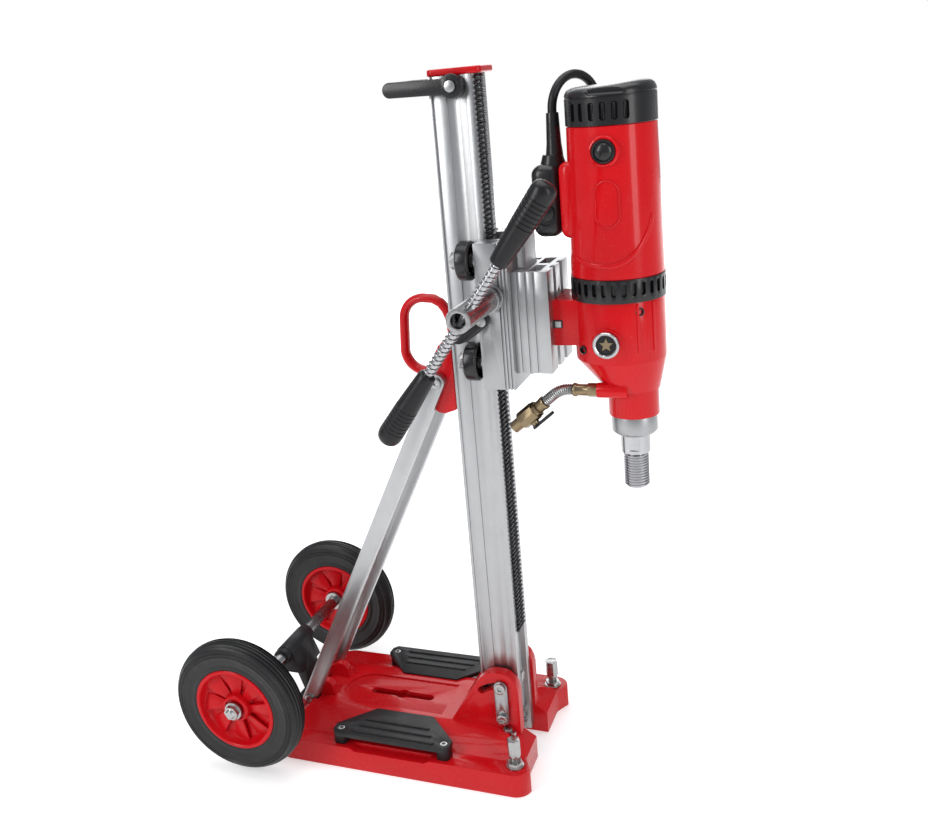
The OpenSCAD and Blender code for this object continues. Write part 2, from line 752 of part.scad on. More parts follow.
module mast_section() {
    difference() {
        square(mast_size, center = true);
        // roller channel and rear groove in each side
        for (s = [-1, 1]) {
            translate([channel_x0, s > 0 ? half - channel_depth : -half - 1]) square([channel_w, channel_depth + 1]);
            translate([-half + 3.5, s > 0 ? half - 2 : -half - 1]) square([4, 3]);
        }
        // bed of the rack
        translate([rack_bed_x, -rack_half - slip_gap]) square([20, rack_w + 2 * slip_gap]);
        // tee slot in the back
        translate([-half - 1, -5]) square([6, 10]);
        translate([-half + 4.3, -9.6]) square([5.2, 19.2]);
        // core
        translate([-half + 14, -17]) square([rack_bed_x + half - 20, 34]);
    }
}

module mast() rig() color("silver") difference() {
    translate([0, 0, mast_foot]) linear_extrude(mast_top - mast_foot) mast_section();
    y_rod(pivot_x, pivot_z, tilt_bolt_r + slip_gap, -half - 1, half + 1);
    y_rod(pivot_x, pivot_z + arc_r, tilt_bolt_r + slip_gap, -half - 1, half + 1);
    y_rod(5, top_handle_z, 4 + slip_gap, -half - 1, half + 1);
    // window in the front of the foot
    block([rack_bed_x - 10, -5, 78], [half + 1, 5, 140]);
}

module rack_outline(z0, z1) {
    n = floor((z1 - z0) / tooth_pitch);
    tip = rack_pitch_x + rack_addendum;
    root = rack_pitch_x - rack_root;
    back = 0.25;
    half_tip = tooth_pitch / 4 - rack_addendum * tan(20) - back / 2;
    half_root = tooth_pitch / 4 + rack_root * tan(20) - back / 2;
    // a gap lies level with the feed shaft's axis
    phase = (feed_z - z0) / tooth_pitch - floor((feed_z - z0) / tooth_pitch);
    first = z0 + (phase + (phase < 0.5 ? 0.5 : -0.5)) * tooth_pitch;
    teeth = [for (i = [0:n - 1]) let (z = first + i * tooth_pitch)
        if (z - half_root > z0 + 0.5 && z + half_root < z1 - 0.5)
            each [[root, z - half_root], [tip, z - half_tip], [tip, z + half_tip], [root, z + half_root]]];
    polygon(concat([[rack_bed_x, z0], [root, z0]], teeth, [[root, z1], [rack_bed_x, z1]]));
}

module rack() rig() color("slategray") difference() {
    side_plate(-rack_half, rack_half) rack_outline(rack_foot, mast_top);
    block([half - 2.5, -rack_groove / 2, rack_foot - 1], [half + 10, rack_groove / 2, mast_top + 1]);
}

module mast_cap() rig() color("red") {
    translate([4.5, 0, mast_top]) linear_extrude(cap_t) round_square(70, mast_size + 0.4, 8);
    translate([0, 0, mast_top - 8]) linear_extrude(8) translate([(rack_bed_x - 20) / 2 + 2, 0]) square([20, 32], center = true);
}

top_handle_drop = 12.5;
top_handle_z = mast_top - top_handle_drop;
handle_in = half + 0.3;
module top_handle() rig() color("black") {
    difference() {
        union() {
            both_sides() y_rod(5, top_handle_z, 14.5, -half - 12, -handle_in);
            side_plate(-half - 12, half + 12) link2d([-74.5, top_handle_z + 1], [5, top_handle_z], 9.5);
        }
        block([-73, -half - 3, top_handle_z - 30], [-12, half + 3, top_handle_z + 30]);
        block([-13, -handle_in, top_handle_z - 30], [40, handle_in, top_handle_z + 30]);
        y_rod(5, top_handle_z, 4 + slip_gap, -60, 60);
    }
}

// Tilt pivot, tilt guide and handle bolts through the mast, and the foot's clamp bolt
module mast_bolts() rig() color("gainsboro") {
    for (z = [pivot_z, pivot_z + arc_r]) {
        y_rod(pivot_x, z, tilt_bolt_r, -ear_out - free_gap - link_t, ear_out + free_gap + link_t);
        both_sides() difference() {
            y_rod(pivot_x, z, 8, -ear_out - free_gap - link_t - 4.5, -ear_out - free_gap - link_t);
            translate([pivot_x, -ear_out - free_gap - link_t - 2, z]) rotate([90, 0, 0]) cylinder(d = 7, h = 4, $fn = 6);
        }
    }
    y_rod(5, top_handle_z, 4, -half - 12, half + 12);
    both_sides() y_rod(5, top_handle_z, 6.8, -half - 15, -half - 12);
    x_rod(0, 108, 4.6, rack_bed_x - 12, rack_bed_x);
    x_rod(0, 108, 7.5, rack_bed_x, rack_bed_x + 6);
    for (z = [30, 48]) x_rod(9, z, 4, rack_bed_x, rack_bed_x + 4);
}

module link_plates() rig() color("silver") both_sides() difference() {
    side_plate(-ear_out - free_gap - link_t, -ear_out - free_gap)
        link2d([pivot_x, pivot_z], [pivot_x, pivot_z + arc_r], 9.5);
    for (z = [pivot_z, pivot_z + arc_r])
        y_rod(pivot_x, z, tilt_bolt_r + slip_gap, -ear_out - 8, -ear_out);
}

// Carriage ------------------------------------------------------------------------------

module carriage() rig() color("silver") difference() {
    block([carriage_back, -carriage_half_w, carriage_foot], [carriage_front, carriage_half_w, carriage_top]);
    // room for the mast, its rack and the pinion
    block([carriage_back - 1, -cheek_in, carriage_foot - 1], [carriage_front - front_wall, cheek_in, carriage_top + 1]);
    // upright grooves on the front corners
    for (s = [-1, 1], i = [0:2])
        translate([0, 0, carriage_foot - 1]) linear_extrude(carriage_len + 2)
            translate([carriage_front - 12.5 + 4.5 * i, s * carriage_half_w]) square([2, 5], center = true);
    // the rollers' way past the cheeks
    both_sides() for (z = [roller_low_z, roller_high_z]) {
        x_rod(-roller_y, z, 6, carriage_back - 1, carriage_back + 22);
    }
    // bearing holes of the feed shaft and the lever's stud
    y_rod(feed_x, feed_z, 13, -carriage_half_w - 1, carriage_half_w + 1);
    y_rod(lever_x, lever_z, 4, -carriage_half_w - 1, -carriage_half_w + 14);
}

module rail_outline(grow) {
    polygon([[carriage_front, -rail_neck - grow], [carriage_front, rail_neck + grow],
             [carriage_front + rail_depth + grow, rail_half + grow], [carriage_front + rail_depth + grow, -rail_half - grow]]);
}

module dovetail_rail() rig() color("silver")
    translate([0, 0, rail_foot]) linear_extrude(carriage_top + 2 - rail_foot) rail_outline(0);

module spacer_block() rig() color("silver") difference() {
    translate([0, 0, spacer_foot]) linear_extrude(spacer_len) difference() {
        translate([carriage_front + free_gap, -spacer_half_w]) square([spacer_depth - free_gap, 2 * spacer_half_w]);
        rail_outline(slip_gap);
        // hollow cells of the section
        for (s = [-1, 1]) {
            translate([carriage_front + 7, s > 0 ? 32 : -43]) square([8, 11]);
            translate([carriage_front + 20, s > 0 ? 6 : -42]) square([15, 36]);
            translate([spacer_front - 5, s > 0 ? 10 : -22]) square([6, 12]);
        }
        // upright grooves in each side
        for (s = [-1, 1], x = [9, 19, 29])
            translate([carriage_front + x, s * spacer_half_w]) square([3, 5], center = true);
    }
    for (z = [spacer_foot + 34, spacer_foot + 94])
        x_rod(0, z, 4 + slip_gap, carriage_front + rail_depth - 1, spacer_front + 1);
}

// Roller axle bolts, spacer bolts, the mounting key in the front slot
module carriage_bolts() rig() color("gainsboro") {
    both_sides() for (z = [roller_low_z, roller_high_z]) {
        x_rod(-roller_y, z, 6, roller_x0 - 4, carriage_back + 20);
        x_rod(-roller_y, z, 9, roller_x0 + roller_w + free_gap, carriage_back);
        translate([roller_x0 - 10, -roller_y, z]) rotate([0, 90, 0]) cylinder(d = 19 / cos(30), h = 7, $fn = 6);
        x_rod(-roller_y, z, 10, roller_x0 - 3, roller_x0 - free_gap);
    }
    for (z = [spacer_foot + 34, spacer_foot + 94])
        x_rod(0, z, 4, carriage_front + rail_depth, spacer_front - 4);
    both_sides() block([spacer_front - 5, -22, 625], [spacer_front, -10, 648]);
    y_rod(lever_x, lever_z, 4, -lever_y1 - 1, -carriage_half_w + 12);
    y_rod(lever_x, lever_z, 6, -lever_y1 - 4, -lever_y1 - free_gap);
}

module roller(side, z) {
    translate([roller_x0, side * roller_y, z]) rotate([0, 90, 0]) difference() {
        union() {
            translate([0, 0, 2]) cylinder(r = roller_r, h = roller_w - 4);
            cylinder(r1 = roller_r - 2.5, r2 = roller_r, h = 2);
            translate([0, 0, roller_w - 2]) cylinder(r1 = roller_r, r2 = roller_r - 2.5, h = 2);
        }
        translate([0, 0, -1]) cylinder(r = roller_bore_r, h = roller_w + 2);
        translate([0, 0, roller_w - 6]) difference() {
            cylinder(r = roller_r - 5, h = 7);
            translate([0, 0, -1]) cylinder(r = 10, h = 9);
        }
    }
}
module roller_near_low() rig() color("black") roller(-1, roller_low_z);
module roller_near_high() rig() color("black") roller(-1, roller_high_z);
module roller_far_low() rig() color("black") roller(1, roller_low_z);
module roller_far_high() rig() color("black") roller(1, roller_high_z);

// Feed drive ------------------------------------------------------------------------------

shaft_r = 9;
module feed_bearing() rig() color("darkgray") {
    both_sides() difference() {
        union() {
            y_rod(feed_x, feed_z, 13 - run_gap, -carriage_half_w, -cheek_in);
            y_rod(feed_x, feed_z, 17, -carriage_half_w - 5, -carriage_half_w);
            y_rod(feed_x, feed_z, 16, -carriage_half_w - 8, -carriage_half_w - 5);
        }
        y_rod(feed_x, feed_z, shaft_r + run_gap, -carriage_half_w - 9, -cheek_in + 1);
    }
}

module pinion_shaft() rig() color("slategray") {
    y_rod(feed_x, feed_z, shaft_r, -carriage_half_w - 30, carriage_half_w + 8);
    difference() {
        translate([feed_x, rack_half - 0.5, feed_z]) rotate([90, 0, 0]) linear_extrude(rack_w - 1)
            rotate(180) polygon(gear_points(rack_module, pinion_teeth, rack_module, 1.1 * rack_module, 0.25));
        y_rod(feed_x, feed_z, shaft_r - 1, -60, 60);
    }
}

// Sleeve on the shaft's near end, open at the outer end, with the crossbar's hole
module feed_hub() rig() color("silver") difference() {
    union() {
        y_rod(feed_x, feed_z, hub_r, -hub_reach, -carriage_half_w - 12);
        y_rod(feed_x, feed_z, hub_r - 2, -carriage_half_w - 12, -carriage_half_w - 8 - free_gap);
        y_rod(feed_x, feed_z, hub_r + 1.5, -carriage_half_w - 20, -carriage_half_w - 15);
    }
    y_rod(feed_x, feed_z, hub_bore_r, -hub_reach - 1, -bar_reach + 16);
    y_rod(feed_x, feed_z, shaft_r, -carriage_half_w - 30, -carriage_half_w);
    at_bar() translate([0, 0, -30]) cylinder(r = bar_r + run_gap, h = 60);
}

// The crossbar's own frame: +Z runs along the bar, up and forward
module at_bar() {
    translate([feed_x, -bar_reach, feed_z]) rotate([0, 90 - bar_angle, 0]) children();
}

bar_mid = -bar_sag;
grip_r = 15.5;
grip_mouth_r = 11;
grip_start = bar_len / 2 - grip_len;
module crossbar() rig() color("silver") at_bar()
    translate([0, 0, bar_mid - bar_len / 2 + 6]) cylinder(r = bar_r, h = bar_len - 12);

module grip() {
    difference() {
        rotate_extrude() {
            difference() {
                polygon([[0, grip_start], [grip_mouth_r - 1.5, grip_start], [grip_mouth_r, grip_start + 2],
                         [grip_r, grip_start + grip_len * 0.55], [grip_r - 1, bar_len / 2 - 10],
                         [grip_r - 3.5, bar_len / 2 - 3], [grip_r - 8, bar_len / 2], [0, bar_len / 2]]);
                for (i = [0:5])
                    translate([grip_r - 0.8, grip_start + grip_len * 0.55 + 6 * i]) square([3, 1.2]);
            }
        }
        translate([0, 0, grip_start - 1]) cylinder(r = bar_r, h = grip_len - 5);
    }
}
module grips() rig() color("black") at_bar() translate([0, 0, bar_mid]) {
    grip();
    mirror([0, 0, 1]) grip();
}

// Each spring is drawn as the sleeve that its coils fill
module spring_sleeve(z0, z1) {
    at_bar() translate([0, 0, z0]) difference() {
        cylinder(r = bar_r + 2.2, h = z1 - z0);
        translate([0, 0, -1]) cylinder(r = bar_r + 0.4, h = z1 - z0 + 2);
    }
}
module spring_upper() rig() color("silver") spring_sleeve(hub_r + free_gap, grip_start + bar_mid - free_gap);
module spring_lower() rig() color("silver") spring_sleeve(-grip_start + bar_mid + free_gap, -hub_r - free_gap);

lever_x = 31;
lever_z = 648;
lever_y0 = carriage_half_w + 0.6;
lever_y1 = carriage_half_w + 7.5;
module lock_lever() rig() color("black") difference() {
    union() {
        y_rod(lever_x, lever_z, 8, -lever_y1, -carriage_half_w - free_gap);
        side_plate(-lever_y1, -lever_y0) {
            polygon([[lever_x - 2, lever_z + 7], [lever_x + 7, lever_z - 3], [lever_x - 4, lever_z - 14],
                     [lever_x - 20, lever_z - 25], [lever_x - 32, lever_z - 29.5], [lever_x - 41, lever_z - 29],
                     [lever_x - 43, lever_z - 25], [lever_x - 36, lever_z - 20], [lever_x - 20, lever_z - 9]]);
        }
    }
    y_rod(lever_x, lever_z, 4 + run_gap, -lever_y1 - 1, -carriage_half_w + 1);
}

// Motor ----------------------------------------------------------------------------------------

module vents(r, z, h, w, list) {
    for (a = list)
        translate([motor_x, 0, z]) rotate(a) translate([r - 12, 0, 0]) rotate([0, 90, 0])
            linear_extrude(24) link2d([-(h - w) / 2, 0], [(h - w) / 2, 0], w / 2);
}

brush_z = 843.5;
module motor_housing() rig() color("red") difference() {
    union() {
        z_rod(motor_x, 0, motor_r, housing_foot, housing_top, motor_top_r);
        both_sides() y_rod(motor_x + 1, brush_z, 18, -motor_r + 1, -40);
        // seat of the switch box
        translate([126, 0, 786]) rotate([0, 90, 0]) linear_extrude(30) round_square(92, 62, 16);
        block([motor_x + 30, -20, housing_foot + 8], [motor_x + motor_r + 1.5, 20, housing_foot + 128]);
    }
    z_rod(motor_x, 0, motor_r - shell_t, housing_foot - 1, housing_top + 1, motor_top_r - shell_t);
    both_sides() y_rod(motor_x + 1, brush_z, 12.5, -motor_r - 1, -40);
    both_sides() y_slot_upright(motor_x + 3, 783, 56, 29, -motor_r - 2, -motor_r + 3.5);
    x_rod(0, 786, 12, 100, motor_x - 40);
}

module end_cap() rig() color("black") difference() {
    translate([motor_x, 0, housing_top]) rotate_extrude($fn = 96)
        polygon([[0, end_cap_h - 3], [20, end_cap_h - 5], [34, end_cap_h - 0.5], [motor_top_r - 10, end_cap_h],
                 [motor_top_r - 3, end_cap_h - 8], [motor_top_r + 0.8, end_cap_h - 18], [motor_top_r + 0.8, 0],
                 [motor_top_r - shell_t, 0], [motor_top_r - shell_t, end_cap_h - 20], [motor_top_r - 12, end_cap_h - 10],
                 [16, end_cap_h - 13], [16, 27], [0, 27]]);
    for (s = [-1, 1])
        vents(motor_top_r, housing_top + 15, 24, 6, [for (i = [-2.5:2.5]) s * 90 + 12 * i]);
    // the upper bearing's seat
    z_rod(motor_x, 0, 11, housing_top + 20, housing_top + 36.5);
    // hand recess on the near side
    translate([motor_x + 6, -motor_top_r - 14, cap_top - 4]) rotate([0, 90, 0]) cylinder(r = 24, h = 52, center = true);
}

module vent_ring() rig() color("black") difference() {
    z_rod(motor_x, 0, ring_r, gearbox_top, housing_foot);
    z_rod(motor_x, 0, ring_r - 4, gearbox_top - 1, housing_foot + 1);
    vents(ring_r, (gearbox_top + housing_foot) / 2 + 2, 16, 6, [for (i = [0:29]) 12 * i]);
}

arm_half = 33;
arm_foot = 609;
module gear_housing() rig() color("red") difference() {
    union() {
        z_rod(motor_x, 0, motor_r - 1, gearbox_foot, gearbox_top);
        // skewed cone down to the neck
        hull() {
            translate([motor_x, 0, gearbox_foot]) cylinder(r = motor_r - 1, h = 1);
            translate([spindle_x, 0, neck_top]) cylinder(r = neck_r + 2, h = 4);
        }
        z_rod(spindle_x, 0, neck_r, neck_foot, neck_top + 2);
        block([spacer_front, -arm_half, arm_foot], [motor_x - 20, arm_half, gearbox_top]);
        x_rod(hose_y, hose_z, 9.5, inlet_x, spindle_x);
        both_sides() y_rod(183, 618, 18, -motor_r - 4, -40);
    }
    z_rod(motor_x, 0, motor_r - 7, gearbox_foot + 6, gearbox_top - 6);
    z_rod(spindle_x, 0, 25, neck_top + 12, gearbox_foot + 10);
    z_rod(spindle_x, 0, 19 + slip_gap, neck_foot - 1, neck_top + 14);
    z_rod(motor_x, 0, 14, gearbox_top - 10, gearbox_top + 1);
    x_rod(hose_y, hose_z, 5 + slip_gap, inlet_x - 1, spindle_x - 4);
    y_rod(spindle_x - 9, hose_z, 4, hose_y, 0);
    y_rod(183, 618, 13, -motor_r - 5, -motor_r + 3);
}

module sight_glass() rig() color("gold") {
    difference() {
        y_rod(183, 618, 16, -motor_r - 8, -motor_r - 4);
        y_rod(183, 618, 11, -motor_r - 9, -motor_r - 5.5);
    }
    y_rod(183, 618, 12.8, -motor_r - 4, -motor_r + 2.5);
}

module brush_caps() rig() color("black") both_sides() {
    y_rod(motor_x + 1, brush_z, 12.3, -motor_r, -motor_r + 7);
    y_rod(motor_x + 1, brush_z, 5, -motor_r + 7, -15.3);
}

armature_low = gearbox_top - 26;
module stator() rig() color("dimgray") difference() {
    z_rod(motor_x, 0, motor_top_r - shell_t + 1.1, housing_foot + 26, housing_foot + 106);
    z_rod(motor_x, 0, 29, housing_foot + 25, housing_foot + 107);
}

// Small gears: first from the armature to the countershaft, second to the spindle
gear1_m = 1.5;
gear1_z = 8;
gear2_z = 26;
gear3_m = 2;
gear3_z = 10;
gear4_z = 22;
d12 = gear1_m * (gear1_z + gear2_z) / 2;
d34 = gear3_m * (gear3_z + gear4_z) / 2;
axis_step = spindle_x - motor_x;
counter_dx = (d12 * d12 - d34 * d34 + axis_step * axis_step) / (2 * axis_step);
counter_x = motor_x + counter_dx;
counter_y = sqrt(d12 * d12 - counter_dx * counter_dx);
to_counter = atan2(counter_y, counter_x - motor_x);
to_spindle = atan2(-counter_y, spindle_x - counter_x);

module gear(m, z, h, turn) {
    rotate(turn) linear_extrude(h) polygon(gear_points(m, z, 0.6 * m, 0.95 * m, 0.4));
}

module armature() rig() color("darkorange") translate([motor_x, 0, 0]) {
    z_rod(0, 0, 5, gearbox_top - 6, housing_top + 36);
    z_rod(0, 0, 3.5, armature_low, gearbox_top - 6);
    translate([0, 0, armature_low]) gear(gear1_m, gear1_z, 18, to_counter);
    difference() {
        z_rod(0, 0, 28, housing_foot + 28, housing_foot + 104);
        z_rod(0, 0, 4.5, housing_foot, housing_foot + 120);
    }
    difference() {
        z_rod(0, 0, 15, brush_z - 14, brush_z + 14);
        z_rod(0, 0, 4.5, brush_z - 16, brush_z + 16);
    }
    // cooling fan
    difference() {
        union() {
            z_rod(0, 0, 46, gearbox_top + 5, gearbox_top + 8);
            z_rod(0, 0, 9, gearbox_top + 5, gearbox_top + 24);
            for (k = [0:11]) rotate(30 * k) translate([8, -1, gearbox_top + 7]) cube([37, 2, 16]);
        }
        z_rod(0, 0, 4.5, gearbox_top, gearbox_top + 30);
    }
}

// Ball bearings: two of the armature, two of the countershaft, two of the spindle
module bearing(x, y, r_in, r_out, z0, z1) {
    difference() {
        z_rod(x, y, r_out, z0, z1);
        z_rod(x, y, r_in + run_gap, z0 - 1, z1 + 1);
    }
}
module bearings() rig() color("gainsboro") {
    bearing(motor_x, 0, 5, 14, gearbox_top - 4.5, gearbox_top + 4);
    bearing(motor_x, 0, 5, 11, housing_top + 28, housing_top + 36);
    bearing(counter_x, counter_y, 4, 10, gearbox_foot + 6, gearbox_foot + 13);
    bearing(counter_x, counter_y, 4, 10, gearbox_top - 10, gearbox_top - 6);
    bearing(spindle_x, 0, 13, 19, neck_foot + 2, neck_foot + 14);
    bearing(spindle_x, 0, 13, 19, neck_top - 6, neck_top + 6);
}

module countershaft() rig() color("slategray") translate([counter_x, counter_y, 0]) {
    z_rod(0, 0, 4, gearbox_foot + 7, gearbox_top - 7);
    translate([0, 0, armature_low + 3])
        gear(gear1_m, gear2_z, 12, to_counter + 180 + 180 / gear2_z);
    translate([0, 0, gearbox_foot + 16]) gear(gear3_m, gear3_z, 24, to_spindle);
}

module output_gear() rig() color("slategray") translate([spindle_x, 0, gearbox_foot + 18])
    difference() {
        gear(gear3_m, gear4_z, 18, to_spindle + 180 + 180 / gear4_z);
        translate([0, 0, -1]) cylinder(r = 12, h = 30);
    }

module spindle() rig() color("silver") translate([spindle_x, 0, 0]) difference() {
    union() {
        z_rod(0, 0, thread_r, spindle_foot, shoulder_foot);
        z_rod(0, 0, shoulder_r, shoulder_foot, collar_foot - free_gap);
        z_rod(0, 0, 13, collar_foot - free_gap, neck_top + 8);
        z_rod(0, 0, 12, neck_top + 8, gearbox_foot + 40);
    }
    z_rod(0, 0, water_bore_r, spindle_foot - 1, neck_top - 8);
    x_rod(0, hose_z, 3, -20, 0);
    for (s = [-1, 1]) block([-30, s > 0 ? 16.5 : -30, shoulder_foot + 5], [30, s > 0 ? 30 : -16.5, collar_foot - 5]);
}

module spindle_collar() rig() color("silver") translate([spindle_x, 0, 0]) difference() {
    union() {
        z_rod(0, 0, collar_r, collar_foot + 4, neck_foot);
        z_rod(0, 0, collar_r - 4, collar_foot, collar_foot + 4, collar_r);
    }
    z_rod(0, 0, 13 + free_gap, collar_foot - 1, neck_foot + 1);
}

// Switch box and its lead ----------------------------------------------------------------------

box_x0 = 90;
box_x1 = 126;
box_half = 24;
box_foot = 741;
box_top = 829;
module switch_box() rig() color("black") difference() {
    translate([(box_x0 + box_x1) / 2, 0, box_foot]) linear_extrude(box_top - box_foot)
        round_square(box_x1 - box_x0, 2 * box_half, 7);
    block([box_x0 + 3, -box_half + 3, box_foot + 3], [box_x1 - 3, box_half - 3, box_top - 3]);
    block([rocker_x - 13, box_half - 4, rocker_z - 17], [rocker_x + 13, box_half + 1, rocker_z + 17]);
}

rocker_x = 108;
rocker_z = 792;
module switch_rocker() rig() color("red") {
    translate([rocker_x, box_half, rocker_z]) difference() {
        rotate([0, 90, 0]) cylinder(r = 14, h = 22, center = true);
        block([-20, -30, -30], [20, -3, 30]);
        block([-20, 4, -30], [20, 30, 30]);
    }
}

module lead_glands() rig() color("black") {
    // bend protector on the switch box
    difference() {
        union() {
            z_rod(lead_x, 0, 8.8, box_top, box_top + 9);
            z_rod(lead_x, 0, 8.3, box_top + 9, lead_low - 3, 7);
        }
        z_rod(lead_x, 0, lead_r + 0.1, box_top + 3, lead_low + 1);
    }
    // socket on the end cap's far side
    difference() {
        union() {
            z_rod(lead_end[0], lead_end[1], 9.5, housing_top + 0.5, lead_end[2]);
            translate([0, 0, housing_top + 0.5]) linear_extrude(lead_end[2] - housing_top - 0.5)
                polygon([[lead_end[0] - 6, lead_end[1]], [lead_end[0] + 7, lead_end[1] + 3],
                         [lead_end[0] + 18, 44], [lead_end[0] + 2, 38]]);
        }
        z_rod(motor_x, 0, motor_top_r + 0.8 + run_gap, 0, 1000);
        z_rod(lead_end[0], lead_end[1], lead_r + 0.1, lead_end[2] - 8, lead_end[2] + 1);
    }
    // closed inlet of the supply lead on the box's far side
    y_rod(rocker_x, box_foot + 18, 8, box_half, box_half + 12);
}

module lead() rig() color("black")
    swept(concat(lead_points, [lead_end - [0, 0, 8]]), lead_r, 12);

// Water hose -------------------------------------------------------------------------------------

module at_valve() {
    translate([valve_x, hose_y, valve_z]) rotate([0, 90 - valve_tilt, 0]) children();
}

module hose_fittings() rig() color("darkgoldenrod") {
    difference() {
        union() {
            x_rod(hose_y, hose_z, 5, inlet_x - 2, inlet_x + 14);
            translate([inlet_x - 12, hose_y, hose_z]) rotate([0, 90, 0]) cylinder(d = 16 / cos(30), h = 12, $fn = 6);
            x_rod(hose_y, hose_z, 7.5, inlet_x - 26, inlet_x - 12);
            x_rod(hose_y, hose_z, 8.8, inlet_x - 30, inlet_x - 26);
        }
        x_rod(hose_y, hose_z, 3, inlet_x - 31, inlet_x + 15);
    }
    at_valve() difference() {
        union() {
            translate([0, 0, 17]) cylinder(r = 8, h = 9);
            translate([0, 0, 26]) cylinder(r = 8.8, h = 4);
        }
        translate([0, 0, 16]) cylinder(r = 3, h = 15);
    }
}

module hose() rig() color("tan")
    swept(hose_points, hose_r, 12);

module valve_body() rig() color("goldenrod") at_valve() {
    difference() {
        union() {
            translate([0, 0, -12]) cylinder(d = 24, h = 24, $fn = 8);
            translate([0, 0, 12]) cylinder(d = 19 / cos(30), h = 5, $fn = 6);
            translate([0, 0, -27]) cylinder(r = 8, h = 15);
            rotate([0, 90, 0]) cylinder(r = 5.5, h = 14);
        }
        translate([0, 0, -28]) cylinder(r = 5, h = 20);
    }
}

module valve_lever() rig() color("black") at_valve() difference() {
    union() {
        translate([14 + free_gap, 0, 0]) rotate([0, 90, 0]) cylinder(r = 7, h = 4);
        translate([14 + free_gap, -5, 0]) cube([4, 10, 24]);
        translate([14 + free_gap, 0, 24]) rotate([0, 90, 0]) cylinder(r = 5, h = 4);
    }
}

base();
foot_pads();
base_fasteners();
levelling_screw_near();
levelling_screw_far();
axle_bracket();
axle_tube();
axle_bolts();
strut_pivot_bolts();
wheel_hub_near();
tyre_near();
wheel_hub_far();
tyre_far();
struts();
strut_top_screws();
ring_handle();
bracket_clamp();
mast();
rack();
mast_cap();
top_handle();
mast_bolts();
link_plates();
carriage();
dovetail_rail();
spacer_block();
carriage_bolts();
roller_near_low();
roller_near_high();
roller_far_low();
roller_far_high();
feed_bearing();
feed_hub();
pinion_shaft();
crossbar();
grips();
spring_upper();
spring_lower();
lock_lever();
motor_housing();
end_cap();
vent_ring();
gear_housing();
sight_glass();
brush_caps();
stator();
armature();
bearings();
countershaft();
spindle();
output_gear();
spindle_collar();
switch_box();
switch_rocker();
lead_glands();
lead();
hose_fittings();
hose();
valve_body();
valve_lever();
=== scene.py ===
# %% [markdown]
# # A core drill rig, one lesson in cells
# The rig is a cast base with two wheels, a toothed mast that can lean back, a
# carriage on rollers that a cross handle winds up and down, and an electric wet
# drill. The exact solids of every piece are already in the frame. This lesson
# gives them round edges, fine detail and finishes, and models the pieces whose
# real shape a plain solid can't give, such as springs, threads, tyres and grips.

# %% Load the frame
import json
import math

import bpy
from mathutils import Matrix, Vector


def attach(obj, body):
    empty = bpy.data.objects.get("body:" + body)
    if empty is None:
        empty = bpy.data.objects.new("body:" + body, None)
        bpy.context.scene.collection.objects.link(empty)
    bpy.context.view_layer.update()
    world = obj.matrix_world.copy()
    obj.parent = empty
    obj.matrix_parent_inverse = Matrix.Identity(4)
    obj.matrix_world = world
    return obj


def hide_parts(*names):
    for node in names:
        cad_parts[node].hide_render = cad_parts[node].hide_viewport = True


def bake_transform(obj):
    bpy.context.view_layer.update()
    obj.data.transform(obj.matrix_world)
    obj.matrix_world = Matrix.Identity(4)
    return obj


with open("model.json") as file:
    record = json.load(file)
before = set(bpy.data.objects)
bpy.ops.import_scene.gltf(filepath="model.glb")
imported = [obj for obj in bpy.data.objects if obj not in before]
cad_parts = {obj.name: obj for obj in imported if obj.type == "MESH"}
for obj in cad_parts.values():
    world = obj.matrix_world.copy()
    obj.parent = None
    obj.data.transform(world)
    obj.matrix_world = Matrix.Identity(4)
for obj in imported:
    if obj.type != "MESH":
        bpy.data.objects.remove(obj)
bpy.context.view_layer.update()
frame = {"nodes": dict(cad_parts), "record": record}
MM = 0.001
MAST_X = 100.5

# %% [markdown]
# ## The camera
# The rig is seen from its near side and a little from the front and above. The
# camera is turned by three angles, and its sensor is shifted slightly so that
# the rig sits in the frame as it should without a change of perspective.

# %% Camera
def rig_point(x, y, z):
    """A point given in millimetres from the mast's axis, as a vector in metres."""
    return Vector(((x + MAST_X) * MM, y * MM, z * MM))


CAMERA_AT = (450.16, -1237.29, 946.76)
azimuth, elevation, roll = (math.radians(a) for a in (22.71, 15.63, 5.46))
view = Vector((-math.sin(azimuth) * math.cos(elevation),
               math.cos(azimuth) * math.cos(elevation), -math.sin(elevation)))
level = Vector((math.cos(azimuth), math.sin(azimuth), 0))
above = level.cross(view)
right = level * math.cos(roll) - above * math.sin(roll)
up = level * math.sin(roll) + above * math.cos(roll)
camera_data = bpy.data.cameras.new("rig_camera")
camera_data.lens = 40.26
camera_data.sensor_width = 36
camera_data.shift_x = 0.0336
camera_data.shift_y = -0.0599
camera = bpy.data.objects.new("rig_camera", camera_data)
bpy.context.scene.collection.objects.link(camera)
turn = Matrix((right, up, -view)).transposed().to_4x4()
camera.matrix_world = Matrix.Translation(rig_point(*CAMERA_AT)) @ turn
bpy.context.scene.camera = camera
print("camera at", tuple(round(c, 3) for c in camera.location))

# %% [markdown]
# ## Floor and light
# A pale, even floor and four large soft lamps are a studio for glossy paint
# and bare metal. Metal shows what surrounds it, so the lamps are long and
# narrow: their edges draw the bright and dark bands on the mast. A fifth lamp
# brightens the floor far behind the rig. The camera looks at a white backdrop,
# while a dimmer room lights the rig, which keeps its colours deep.

# %% Floor
FLOOR_SIZE, FLOOR_DROP = 14, 0.0008
bpy.ops.mesh.primitive_plane_add(size=FLOOR_SIZE, location=(0, 0, -FLOOR_DROP))
floor = bpy.context.object
floor.name = "studio_floor"
print("floor", tuple(floor.dimensions))


